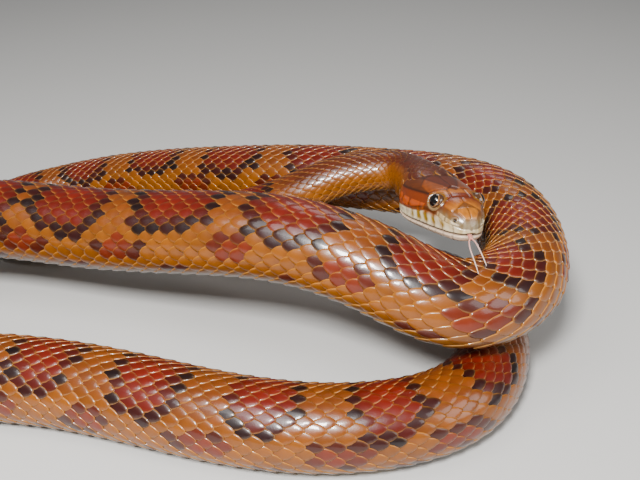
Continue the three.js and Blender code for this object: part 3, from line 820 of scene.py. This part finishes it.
# named fields of places on half the head, rows from the neck to a cap over the snout
def headPlaces():
    tip = pose["headLength"]
    along = np.concatenate([np.arange(headGrid["from"], headGrid["fineFrom"], headGrid["step"]),
                            np.arange(headGrid["fineFrom"], tip, headGrid["fineStep"])])
    share = np.linspace(0, 1, headGrid["columns"])
    across, height = headSection(along[:, None], share[None, :])
    lastAcross, lastHeight = headSection(tip, share)
    cap = np.array(headGrid["cap"])[:, None]
    along = np.concatenate([along[:, None], tip + headGrid["capBulge"] * np.sqrt(1 - cap ** 2)])
    field = {"x": np.repeat(along, headGrid["columns"], axis=1)}
    field["share"] = np.broadcast_to(share, field["x"].shape)
    field["across"] = np.concatenate([across, lastAcross * cap])
    field["height"] = np.concatenate([height, headGrid["middle"] + (lastHeight - headGrid["middle"]) * cap])
    field["base"] = np.stack([field["x"], field["across"], field["height"]], axis=-1)
    mouth = lookup(headStations, field["x"], 6)
    field["rel"] = field["height"] - mouth
    field["mouth"] = mouth
    field["lipTop"] = lookup(shieldSizes["lipTop"], field["x"])
    for key in ("upper", "lower"):
        first, step, slant = shieldSizes[key]
        field[key + "Seam"] = seamDistance(field["x"] + slant * field["rel"], first, step)
    axis = np.array(eye["axis"]) / np.linalg.norm(eye["axis"])
    field["toEye"] = field["base"] - np.array(eye["at"])
    depth = np.sum(field["toEye"] * axis, axis=-1)
    field["away"] = np.linalg.norm(field["toEye"] - depth[..., None] * axis, axis=-1)
    field["near"] = depth > -1
    field["ring"] = field["near"] & (field["away"] > socket["inner"]) & (field["away"] < socket["outer"])
    field["nostril"] = np.linalg.norm(field["base"] - np.array(nostril["at"]), axis=-1)
    field["line"] = smooth(*mouthSizes["corner"], field["x"])
    notchAcross = smooth(*mouthSizes["notchAcross"], field["across"])
    notchAlong = smooth(*mouthSizes["notchAlong"], field["x"])
    field["notch"] = bell(field["rel"], mouthSizes["notchHalf"]) * notchAcross * notchAlong
    return field


# how far inside its shield each place lies; the sutures between shields are at 0 and below
def shieldInside(field):
    x, rel = field["x"], field["rel"]
    onCrown = field["share"] < shieldSizes["crownShare"]
    best = np.full(x.shape, -9.0)
    for outline in crownShields:
        best = np.where(onCrown, np.maximum(best, insideOutline(outline, x, field["across"])), best)
    upperCheek = ~onCrown & (field["height"] > field["mouth"] + field["lipTop"])
    for outline in cheekShields:
        best = np.where(upperCheek, np.maximum(best, insideOutline(outline, x, field["height"])), best)
    onLips = x > shieldSizes["lipsFrom"]
    depth, gap = shieldSizes["lowerDepth"], shieldSizes["lipGap"]
    aside = field["share"] >= shieldSizes["lipsShare"]
    field["upperLip"] = (rel > 0) & (rel <= field["lipTop"]) & aside & onLips
    field["lowerLip"] = (rel < 0) & (rel > -depth) & onLips
    upperEdge = np.minimum(field["upperSeam"], np.minimum(field["lipTop"] - rel, rel - gap))
    lowerEdge = np.minimum(field["lowerSeam"], np.minimum(depth + rel, -rel - gap))
    best = np.where(field["upperLip"], upperEdge, best)
    return np.where(field["lowerLip"], lowerEdge, best)


# height over the bare head: shields, eye rings and brows, nostrils and mouth
def headRelief(field, inside):
    x, across, rel, away, share = (field[key] for key in ("x", "across", "rel", "away", "share"))
    rise = shieldSizes["rise"] * smooth(0, shieldSizes["edge"], inside)

    angle = np.arctan2(field["toEye"][..., 2], field["toEye"][..., 0])
    ringSeam = np.abs((angle / (2 * math.pi) * socket["ringSeams"]) % 1 - 0.5) < socket["ringSeamHalf"]
    crest = 1 - ((away - socket["ringCrest"]) / socket["ringHalf"]) ** 2
    ringRise = socket["ringRise"] * crest - socket["ringSeamDepth"] * ringSeam
    rise = np.where(field["ring"], ringRise, rise)
    rise = rise - np.where(field["near"], socket["sink"] * smooth(*socket["sinkFrom"], away), 0)
    offLine = np.abs(across - lookup(socket["browLine"], x))
    brow = smooth(*socket["browHalf"], offLine) * band(socket["browReach"], x)
    onBrow = (share < shieldSizes["crownShare"]) & (away > socket["browFrom"])
    rise = rise + np.where(onBrow, socket["browRise"] * brow, 0)

    rise = rise - nostril["depth"] * smooth(*nostril["wall"], field["nostril"])
    rise = rise + nostril["rimRise"] * smooth(0.5, 0.0, np.abs(field["nostril"] - nostril["rim"]))

    lips = bell(np.abs(rel) - mouthSizes["lipAt"], mouthSizes["lipHalf"]) * smooth(6.4, 9, x)
    rise = rise - mouthSizes["depth"] * bell(rel, mouthSizes["half"]) * field["line"]
    rise = rise + mouthSizes["lipRise"] * lips - mouthSizes["notch"] * field["notch"]
    underChin = (share > mouthSizes["grooveFrom"]) * band(mouthSizes["grooveAlong"], x)
    groove = bell(across, mouthSizes["grooveHalf"]) * underChin
    return rise - mouthSizes["groove"] * groove


headHues = {
    "crown": srgb(122, 58, 12),
    "front": srgb(156, 92, 20),
    "bar": srgb(88, 26, 6),
    "strip": srgb(158, 88, 14),
    "spear": srgb(72, 22, 10),
    "stripe": srgb(160, 64, 4),
    "black": srgb(22, 9, 7),
    "cream": srgb(216, 204, 170),
    "grey": srgb(150, 116, 104),
    "olive": srgb(138, 106, 16),
    "chin": srgb(206, 172, 152),
    # painted shade along the crease of the mouth and in the tongue notch
    "mouth": srgb(56, 13, 10),
    "suture": srgb(36, 18, 8),
    # painted shade inside the nostril
    "nostrilShade": srgb(30, 15, 12),
}

# the markings of the head and the painted shade of its mouth, nostrils and eye sockets, in mm along it from
# the neck joint unless a note says otherwise; a pair is where a marking starts and where it is full
markings = {
    "front": (27, 32),
    "bar": (24.6, 25.4, 27.4, 28.6),
    "strip": (21.8, 22.6, 24.6, 25.4),
    # rows of place and half width
    "spearWidth": [(4, 6.5), (10, 5.6), (15, 4.2), (19, 2.6), (22.5, 1.0), (23.5, 0.2)],
    "spearEnd": 23.5,
    "cheekFront": (26.5, 29),
    "cheekTop": (3.0, 0.8),      # over the widest line
    # rows of place and height
    "stripeTop": [(4, 2.2), (8, 2.6), (14, 3.4), (20, 4.2), (23, 4.4)],
    "stripeLow": [(4, -3.2), (8, -2.6), (14, -1.6), (20, 0.4), (23, 1.6)],
    "stripeEnd": (23.6, 22.6),
    "rimEnd": (22.5, 21),
    "lipFront": (21.5, 23),      # a softer upper edge of the lips from here on
    "lipEdge": (0.3, -1.4),      # over the top of the lip shields
    "lipSpots": (13, 20),
    "snout": (31.6, 34.4),
    "snoutTop": (2.6, 0.2),      # height
    "seam": (0.34, 0.1),         # off the seam
    "mouthShadeHalf": 0.24,           # off the line of the mouth, the reach of its painted shade
    "paleRing": (-0.4, -1.8),    # under the eye's middle
    "socketShade": (2.15, 1.95),   # off the eye's axis; the sunken skin of the socket inside this is painted black as shade
    "nostrilShade": (0.62, 0.4),          # off the middle of the nostril, the reach of its painted shade
    "coat": (-2, 5),             # the body's colour gives way to the head's
}


# colours laid over one another, each with its share
def layered(tone, *layers):
    for colour, share in layers:
        tone = blendColours(tone, colour, share)
    return tone


# crown, band between the eyes and the spear mark behind them
def crownTone(field, mottle):
    x, across, share = field["x"], field["across"], field["share"]
    width = lookup(markings["spearWidth"], x)
    spear = smooth(width + 0.3, width - 0.5, across) * (x < markings["spearEnd"]) * (share < 0.45)
    plain = blendColours(headHues["crown"], headHues["front"], smooth(*markings["front"], x))
    return layered(plain * (0.8 + 0.3 * mottle[..., None]),
                   (headHues["strip"], band(markings["strip"], x) * (share < 0.45) * 0.8),
                   (headHues["bar"], band(markings["bar"], x) * (share < 0.4) * 0.8),
                   (headHues["spear"], spear * 0.75),
                   (headHues["black"], spear * smooth(width - 1.4, width - 0.4, across) * 0.35))


# pale lips, spotted along the seams of their shields
def lipTone(field, mottle, coarse):
    spot = smooth(1.3, 0.2, field["upperSeam"] + 0.6 * (coarse - 0.5)) * smooth(0.0, 1.7, field["rel"])
    spot = spot * smooth(*markings["lipSpots"], field["x"])
    return layered(headHues["cream"],
                   (headHues["olive"], np.clip(spot * 0.95 + 0.3 * mottle, 0, 1)),
                   (headHues["grey"], 0.35 * smooth(0.5, 1.0, coarse)))


# black-edged stripe from the eye to the corner of the mouth, and the pale lips below it
def cheekTone(field, tone, mottle, coarse):
    x, height, rel, share = (field[key] for key in ("x", "height", "rel", "share"))
    widest = lookup(headStations, x, 4)
    farTop, nearTop = markings["cheekTop"]
    front = smooth(*markings["cheekFront"], x) * smooth(widest + farTop, widest + nearTop, height)
    frontTone = blendColours(headHues["cream"], headHues["olive"], np.clip(0.7 * mottle + 0.25, 0, 1))
    top = lookup(markings["stripeTop"], x)
    low = lookup(markings["stripeLow"], x)
    stripe = smooth(low - 0.2, low + 0.3, height) * smooth(top + 0.2, top - 0.3, height)
    rim = np.clip(bell(height - top, 0.35) + bell(height - low, 0.3) * 0.8, 0, 1)
    below = np.minimum(low, field["mouth"] + field["lipTop"])
    lips = smooth(below + 0.1, below - 0.3, height) * (rel > 0)
    softLips = smooth(*markings["lipEdge"], rel - field["lipTop"] - 0.6 * (mottle - 0.5)) * (rel > 0)
    frontShare = smooth(*markings["lipFront"], x)
    lips = lips * (1 - frontShare) + softLips * frontShare
    return layered(tone,
                   (frontTone, front * 0.85),
                   (headHues["stripe"], stripe * smooth(*markings["stripeEnd"], x) * (share > 0.25)),
                   (headHues["black"], rim * smooth(*markings["rimEnd"], x) * (share > 0.25) * 0.8),
                   (lipTone(field, mottle, coarse), lips * (share > 0.4)))


def headTone(field, inside):
    x, across, height, rel, share = (field[key] for key in ("x", "across", "height", "rel", "share"))
    mottle = 0.5 + 0.5 * np.sin(x * 2.1 + np.sin(across * 1.7) * 2.0) * np.sin(across * 2.3 + x * 0.8)
    coarse = 0.5 + 0.5 * np.sin(x * 1.1 + 2.6 * np.sin(height * 0.9 + 0.4)) * np.cos(height * 1.3 + 0.6 * x)
    snoutTone = layered(headHues["cream"],
                        (headHues["olive"], 0.25 + 0.6 * mottle), (headHues["grey"], 0.35 * coarse))
    snout = smooth(*markings["snout"], x) * smooth(*markings["snoutTop"], height)
    chinTone = blendColours(headHues["chin"], headHues["cream"], 0.4)
    suture = 1 - smooth(0.0, shieldSizes["suture"], inside)
    seam = smooth(*markings["seam"], np.where(rel > 0, field["upperSeam"], field["lowerSeam"]))
    seam = np.where(field["upperLip"] | field["lowerLip"], seam, 0)
    # painted shade along the crease of the mouth and in the tongue notch
    mouth = np.clip(bell(rel, markings["mouthShadeHalf"]) * field["line"] + field["notch"], 0, 1)
    ringTone = blendColours(headHues["olive"], headHues["front"], 0.6) * 0.5
    paleRing = 0.16 * smooth(*markings["paleRing"], field["toEye"][..., 2])
    # painted shade: the sunken skin of the socket round the eyeball is blackened
    socketShadeShare = smooth(*markings["socketShade"], field["away"])
    tone = layered(cheekTone(field, crownTone(field, mottle), mottle, coarse),
                   (snoutTone, snout * 0.8),
                   (chinTone, (rel < 0) * 1.0),
                   (headHues["suture"], suture * 0.6 * (share < 0.5) * (x > 7)),
                   (headHues["suture"], seam * np.where(rel > 0, 0.34, 0.28)),
                   # painted shade of the mouth
                   (headHues["mouth"], mouth),
                   (ringTone, np.where(field["ring"], 0.9, 0)),
                   (headHues["cream"], np.where(field["ring"], paleRing, 0)),
                   # painted shade in the eye sockets
                   (headHues["black"], np.where(field["near"], socketShadeShare, 0)),
                   # painted shade darkens the inside of the nostril
                   (headHues["nostrilShade"], smooth(*markings["nostrilShade"], field["nostril"])))
    neckTone = coatColour(shape["headOffset"] - np.minimum(x, shape["headOffset"]), share * 0.5)
    return blendColours(neckTone, tone, smooth(*markings["coat"], x))


def makeHead():
    field = headPlaces()
    base, share = field["base"], field["share"]
    normal = np.cross(np.gradient(base, axis=0), np.gradient(base, axis=1))
    normal = normal / np.maximum(np.linalg.norm(normal, axis=-1, keepdims=True), 1e-9)
    outward = normal[..., 1] * base[..., 1] + normal[..., 2] * (base[..., 2] - headGrid["middle"])
    normal = normal * np.sign(outward + 1e-9)[..., None]
    inside = shieldInside(field)
    moved = base + normal * (headRelief(field, inside) - headGrid["inset"])[..., None]
    moved[..., 1] = np.where((share == 0) | (share == 1), 0, np.maximum(moved[..., 1], 0))
    tone = headTone(field, inside).reshape(-1, 3)

    points, uvs, faces = [], [], []
    rows, columns = share.shape
    for side in (1, -1):
        half = headPoint(moved[..., 0], side * moved[..., 1], moved[..., 2]).reshape(-1, 3)
        points.append(inFrame(half))
        lengthwise = 0.02 + 0.96 * (field["x"] - headGrid["from"]) / headGrid["unwrapLength"]
        uvs.append(np.stack([lengthwise, 0.5 + side * 0.48 * share], axis=-1).reshape(-1, 2))
        faces += gridFaces(rows, columns, 0 if side > 0 else rows * columns, order=side)
    head = newMesh("headSkin", np.concatenate(points), faces)
    setTint(head.data, np.concatenate([tone, tone]))
    setUv(head.data, np.concatenate(uvs))
    closeMesh(head, headGrid["weld"] * mm, fill=True)
    print("head", len(head.data.polygons), "faces")
    return head


# welds the seams, closes open ends where asked and turns all faces outward
def closeMesh(thing, distance, fill=False):
    work = bmesh.new()
    work.from_mesh(thing.data)
    bmesh.ops.remove_doubles(work, verts=work.verts, dist=distance)
    if fill:
        bmesh.ops.holes_fill(work, edges=[edge for edge in work.edges if edge.is_boundary])
    bmesh.ops.recalc_face_normals(work, faces=work.faces)
    work.to_mesh(thing.data)
    work.free()
    thing.data.shade_smooth()


# eyeball with the angle from its axis kept for the pupil
def makeEye(name, side):
    rings, around = eye["rings"], eye["around"]
    out, left, up = eye["axis"]
    axis = unit(headForward * out + headLeft * side * left + headUp * up)
    first = unit(np.cross(axis, headForward))
    second = np.cross(axis, first)
    centre = headPoint(eye["at"][0], side * eye["at"][1], eye["at"][2])
    points, polars, uvs = [], [], []
    for r in range(rings + 1):
        polar = math.pi * r / rings
        for k in range(around):
            turn = 2 * math.pi * k / around
            sideways = first * math.cos(turn) + second * math.sin(turn)
            ray = axis * math.cos(polar) + sideways * math.sin(polar)
            points.append(inFrame(centre + ray * eye["radius"]))
            polars.append(polar)
            reach = 0.48 * polar / math.pi
            uvs.append((0.5 + reach * math.cos(turn), 0.5 + reach * math.sin(turn)))
    ball = newMesh(name, points, gridFaces(rings + 1, around, closed=True))
    setAttribute(ball.data, "polar", "FLOAT", "POINT", polars)
    setUv(ball.data, uvs)
    closeMesh(ball, 0.001 * mm)
    return ball


# forked tongue: a flat stem and two tines, rows of place and half thickness
tongueSizes = {
    "stem": [(39.4, 11.6, 51.7, 0.6), (39.55, 10.6, 51.75, 0.62),
             (39.7, 9.6, 51.6, 0.64), (39.8, 8.7, 51.45, 0.55)],
    "tineA": [(39.6, 9.3, 51.5, 0.24), (39.0, 7.4, 51.2, 0.21), (39.0, 5.2, 50.5, 0.2),
              (39.4, 2.6, 49.6, 0.18), (39.8, 0.2, 48.7, 0.15), (40.2, -2.2, 47.5, 0.09)],
    "tineB": [(39.8, 9.3, 51.5, 0.24), (40.6, 7.4, 51.4, 0.21), (41.0, 5.4, 51.2, 0.2),
              (41.4, 3.4, 50.7, 0.18), (41.9, 1.4, 49.9, 0.15), (42.4, -0.4, 48.9, 0.09)],
    "sides": 14,
    "rings": 40,
    "rounds": 6,
    "flatness": 0.85,
}


def makeTongue():
    points, faces, redness, uvs = [], [], [], []
    n, rings = tongueSizes["sides"], tongueSizes["rings"]
    last = rings - 1
    for strand, key in enumerate(("stem", "tineA", "tineB")):
        rows = np.array(tongueSizes[key])
        t = np.linspace(0, len(rows) - 1, rings)
        fine = np.stack([np.interp(t, np.arange(len(rows)), rows[:, k]) for k in range(4)], axis=1)
        for k in range(tongueSizes["rounds"]):
            fine[1:-1] = (fine[:-2] + 2 * fine[1:-1] + fine[2:]) / 4
        along = unit(np.gradient(fine[:, :3], axis=0))
        across = unit(np.cross(along, [0, 0, 1.0]))
        up = np.cross(across, along) * tongueSizes["flatness"]
        start = len(points)
        for i in range(rings):
            for k in range(n):
                turn = 2 * math.pi * k / n
                p = fine[i, :3] + fine[i, 3] * (across[i] * math.cos(turn) + up[i] * math.sin(turn))
                points.append(inFrame(p))
                redness.append(1 - i / last if strand else 1.0)
                around = 0.05 + 0.9 * abs(k - n / 2) / (n / 2)
                uvs.append((0.03 + 0.94 * i / last, (strand + around) / 3))
        faces += gridFaces(rings, n, start, closed=True)
        faces.append(tuple(start + k for k in range(n))[::-1])
        faces.append(tuple(start + last * n + k for k in range(n)))
    tongue = newMesh("tongueSkin", points, faces)
    setAttribute(tongue.data, "redness", "FLOAT", "POINT", redness)
    setUv(tongue.data, uvs)
    return tongue


# a material under construction, its shader's own sockets set from the start
class Finish:
    def __init__(self, name, roughness, coat, specular):
        self.material = bpy.data.materials.new(name)
        self.material.use_nodes = True
        self.nodes = self.material.node_tree.nodes
        self.links = self.material.node_tree.links
        self.sockets = self.nodes["Principled BSDF"].inputs
        values = {"Roughness": roughness, "Coat Weight": coat[0], "Coat Roughness": coat[1],
                  "Specular IOR Level": specular}
        for socket, value in values.items():
            self.sockets[socket].default_value = value

    def feed(self, socket, value):
        if isinstance(value, bpy.types.NodeSocket):
            self.links.new(value, socket)
        elif value is not None:
            socket.default_value = value

    def attribute(self, name, output="Fac"):
        node = self.nodes.new("ShaderNodeAttribute")
        node.attribute_name = name
        return node.outputs[output]

    def mix(self, a, b, share, mode="MIX"):
        node = self.nodes.new("ShaderNodeMix")
        node.data_type = "RGBA"
        node.blend_type = mode
        for name, value in (("A", a), ("B", b)):
            socket = [i for i in node.inputs if i.name == name and i.type == "RGBA"][0]
            self.feed(socket, value if isinstance(value, bpy.types.NodeSocket) else (*value, 1))
        self.feed([i for i in node.inputs if i.name == "Factor" and i.type == "VALUE"][0], share)
        return [o for o in node.outputs if o.type == "RGBA"][0]

    def math(self, operation, a, b=None, clamp=False):
        node = self.nodes.new("ShaderNodeMath")
        node.operation = operation
        node.use_clamp = clamp
        self.feed(node.inputs[0], a)
        self.feed(node.inputs[1], b)
        return node.outputs[0]

    def grain(self, scale, detail):
        place = self.nodes.new("ShaderNodeTexCoord")
        node = self.nodes.new("ShaderNodeTexNoise")
        node.inputs["Scale"].default_value = scale
        node.inputs["Detail"].default_value = detail
        self.links.new(place.outputs["Object"], node.inputs["Vector"])
        return node.outputs["Fac"]

    def bump(self, height, strength):
        node = self.nodes.new("ShaderNodeBump")
        node.inputs["Strength"].default_value = strength
        node.inputs["Distance"].default_value = 0.2 * mm
        self.links.new(height, node.inputs["Height"])
        self.links.new(node.outputs["Normal"], self.sockets["Normal"])

    def colour(self, value):
        self.feed(self.sockets["Base Color"], value)
        return self.material


# glossy horn of the scales: own tint, painted shade toward the root where it lies under the scale in front,
# thin paler margin, fine grain
def scaleMaterial():
    horn = Finish("scaleHorn", 0.36, (0.45, 0.12), 0.35)
    tint = horn.attribute("tint", "Color")
    blotched = horn.mix(tint, (0.25, 0.06, 0.02), horn.math("MULTIPLY", horn.grain(900, 4), 0.22), "MULTIPLY")
    # painted shade: each scale darkens toward its root, under the tip of the scale in front
    rootShade = horn.math("MULTIPLY", horn.math("SUBTRACT", 0.62, horn.attribute("along")), 1.1, clamp=True)
    rooted = horn.mix(blotched, (0.3, 0.16, 0.1), rootShade, "MULTIPLY")
    edge = horn.math("MULTIPLY", horn.math("POWER", horn.attribute("rim"), 3.2), 0.56)
    pale = horn.mix(tint, srgb(212, 146, 62), 0.7)
    horn.bump(horn.grain(2600, 2), 0.12)
    return horn.colour(horn.mix(rooted, pale, edge))


# pale belly plates with dark checks by chance
def scuteMaterial():
    plate = Finish("bellyHorn", 0.3, (0.3, 0.18), 0.5)
    join = plate.nodes.new("ShaderNodeCombineXYZ")
    plate.feed(join.inputs[0], plate.math("FLOOR", plate.math("MULTIPLY", plate.attribute("across"), 5.0)))
    plate.feed(join.inputs[1], plate.math("MULTIPLY", plate.attribute("luck"), 97.0))
    chance = plate.nodes.new("ShaderNodeTexWhiteNoise")
    chance.noise_dimensions = "3D"
    plate.feed(chance.inputs["Vector"], join.outputs[0])
    dark = plate.math("MULTIPLY", plate.math("GREATER_THAN", chance.outputs["Value"], 0.58), 0.9)
    checked = plate.mix(plate.attribute("tint", "Color"), (0.035, 0.022, 0.018), dark)
    edge = plate.math("MULTIPLY", plate.math("POWER", plate.attribute("rim"), 3.0), 0.4)
    plate.bump(plate.grain(1800, 2), 0.1)
    return plate.colour(plate.mix(checked, (0.75, 0.6, 0.42), edge))


def skinMaterial():
    skin = Finish("bareSkin", 0.5, (0.1, 0.3), 0.4)
    share = skin.math("MULTIPLY", skin.grain(1500, 3), 0.25)
    return skin.colour(skin.mix(skin.attribute("tint", "Color"), (0.8, 0.6, 0.4), share))


def headMaterial():
    horn = Finish("headHorn", 0.3, (0.4, 0.14), 0.5)
    shade = horn.math("MULTIPLY", horn.grain(1100, 5), 0.35)
    horn.bump(horn.grain(2400, 3), 0.1)
    return horn.colour(horn.mix(horn.attribute("tint", "Color"), (0.45, 0.25, 0.12), shade, "MULTIPLY"))


# pupil, pale inner line and dark iris, by the angle from the eye's axis as a share of half a turn
irisStops = [
    (0.0, (0.003, 0.002, 0.002)), (0.29, (0.004, 0.003, 0.003)), (0.305, (0.2, 0.08, 0.025)),
    (0.318, (0.26, 0.13, 0.05)), (0.34, (0.1, 0.04, 0.015)), (0.375, (0.05, 0.02, 0.008)),
]


def eyeMaterial():
    glass = Finish("eyeGlass", 0.06, (1.0, 0.02), 0.6)
    ramp = glass.nodes.new("ShaderNodeValToRGB")
    glass.feed(ramp.inputs[0], glass.math("DIVIDE", glass.attribute("polar"), math.pi))
    stops = ramp.color_ramp.elements
    for stop, (place, colour) in zip((stops[0], stops[1]), (irisStops[0], irisStops[-1])):
        stop.position = place
        stop.color = (*colour, 1)
    for place, colour in irisStops[1:-1]:
        stops.new(place).color = (*colour, 1)
    return glass.colour(ramp.outputs["Color"])


def tongueMaterial():
    flesh = Finish("tongueFlesh", 0.35, (0.4, 0.2), 0.5)
    red = flesh.math("POWER", flesh.attribute("redness"), 1.5)
    base = flesh.mix((0.58, 0.42, 0.36), (0.42, 0.13, 0.09), red)
    return flesh.colour(flesh.mix(base, (0.8, 0.6, 0.5), flesh.math("MULTIPLY", flesh.grain(1500, 2), 0.2)))


bodySkin = makeBodySkin()
bodySkin.data.materials.append(skinMaterial())
guide = makeGuide()
print("skin made")

dorsalScale = makeScaleShape("dorsalScale", dorsalShape["places"], dorsalShape["shares"],
                             dorsalHalf, dorsalLift, dorsalShape["crownDrop"], dorsalShape["keel"])
bellyScute = makeScaleShape("bellyScute", scuteShape["places"], scuteShape["shares"], scuteHalf, scuteLift)
layingTree = makeLayingTree()
hornFinish = scaleMaterial()
bellyFinish = scuteMaterial()

pieces = [bodySkin]
for k, (start, end, rows) in enumerate(scaleRows["stretches"]):
    roots = makeRoots(start, end, rows)
    pieces.append(layScales(f"scales{k + 1}", roots, dorsalScale, hornFinish,
                            scaleRows["ruffle"], scaleRows["seed"] + k))
roots = makeScuteRoots(scuteSizes["from"], scuteSizes["to"])
pieces.append(layScales("bellyScutes", roots, bellyScute, bellyFinish,
                        scuteSizes["ruffle"], scuteSizes["seed"]))
print("scales laid")

head = makeHead()
head.data.materials.append(headMaterial())
eyeFinish = eyeMaterial()
eyeLeft = makeEye("eyeLeftBall", 1)
eyeRight = makeEye("eyeRightBall", -1)
for ball in (eyeLeft, eyeRight):
    ball.data.materials.append(eyeFinish)
tongue = makeTongue()
tongue.data.materials.append(tongueMaterial())

for helper in (guide, dorsalScale, bellyScute):
    bpy.data.objects.remove(helper)

trunkNodes = ["neck"] + [f"torso_{k:02d}" for k in range(1, 13)]
tailNodes = [f"tail_{k:02d}" for k in range(1, 4)]
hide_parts(*trunkNodes, *tailNodes)
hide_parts("head")
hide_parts("eye_left")
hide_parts("eye_right")
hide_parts("tongue")
for piece in pieces:
    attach(piece, "root")
for piece, slotName in ((head, "head"), (eyeLeft, "eye"), (eyeRight, "eye"), (tongue, "tongue")):
    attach(piece, "root")
print("pieces ride on the root")

# camera as the photo was taken, floor and soft light
view = {
    "at": (0.0, -167.5, 152.9),
    "down": 30.0,
    "lens": 43.46,
    "sensor": 36,
    "near": 0.01,
}
camera = bpy.data.objects.new("camera", bpy.data.cameras.new("camera"))
camera.data.sensor_width = view["sensor"]
camera.data.lens = view["lens"]
camera.data.clip_start = view["near"]
camera.location = inFrame(np.array(view["at"]))
camera.rotation_euler = (math.radians(90 - view["down"]), 0, 0)
bpy.context.collection.objects.link(camera)
bpy.context.scene.camera = camera

bpy.ops.mesh.primitive_plane_add(size=6, location=(0, 0, 0))
floor = bpy.context.object
floor.name = "floor"
floor.data.materials.append(Finish("paleFloor", 0.8, (0.0, 0.3), 0.3).colour((0.5, 0.49, 0.47, 1)))

lampAim = (0.02, 0.0, 0.02)
lamps = [
    # name, place, size and power
    ("key", (-0.02, -0.32, 0.33), 0.07, 4.6),
    ("top", (-0.2, -0.25, 0.6), 0.3, 1.6),
    ("fill", (0.5, -0.3, 0.3), 0.35, 1.8),
    ("back", (0.15, 0.55, 0.6), 0.3, 0.9),
]
for name, place, size, power in lamps:
    lamp = bpy.data.objects.new(name, bpy.data.lights.new(name, "AREA"))
    lamp.data.size = size
    lamp.data.energy = power
    lamp.location = place
    aim = np.array(lampAim) - np.array(place)
    lamp.rotation_euler = (math.atan2(math.hypot(aim[0], aim[1]), -aim[2]), 0, math.atan2(-aim[0], aim[1]))
    bpy.context.collection.objects.link(lamp)
room = {"Color": (0.8, 0.82, 0.86, 1), "Strength": 0.17}
world = bpy.data.worlds.new("room")
world.use_nodes = True
for key, value in room.items():
    world.node_tree.nodes["Background"].inputs[key].default_value = value
bpy.context.scene.world = world
print("camera and light set")
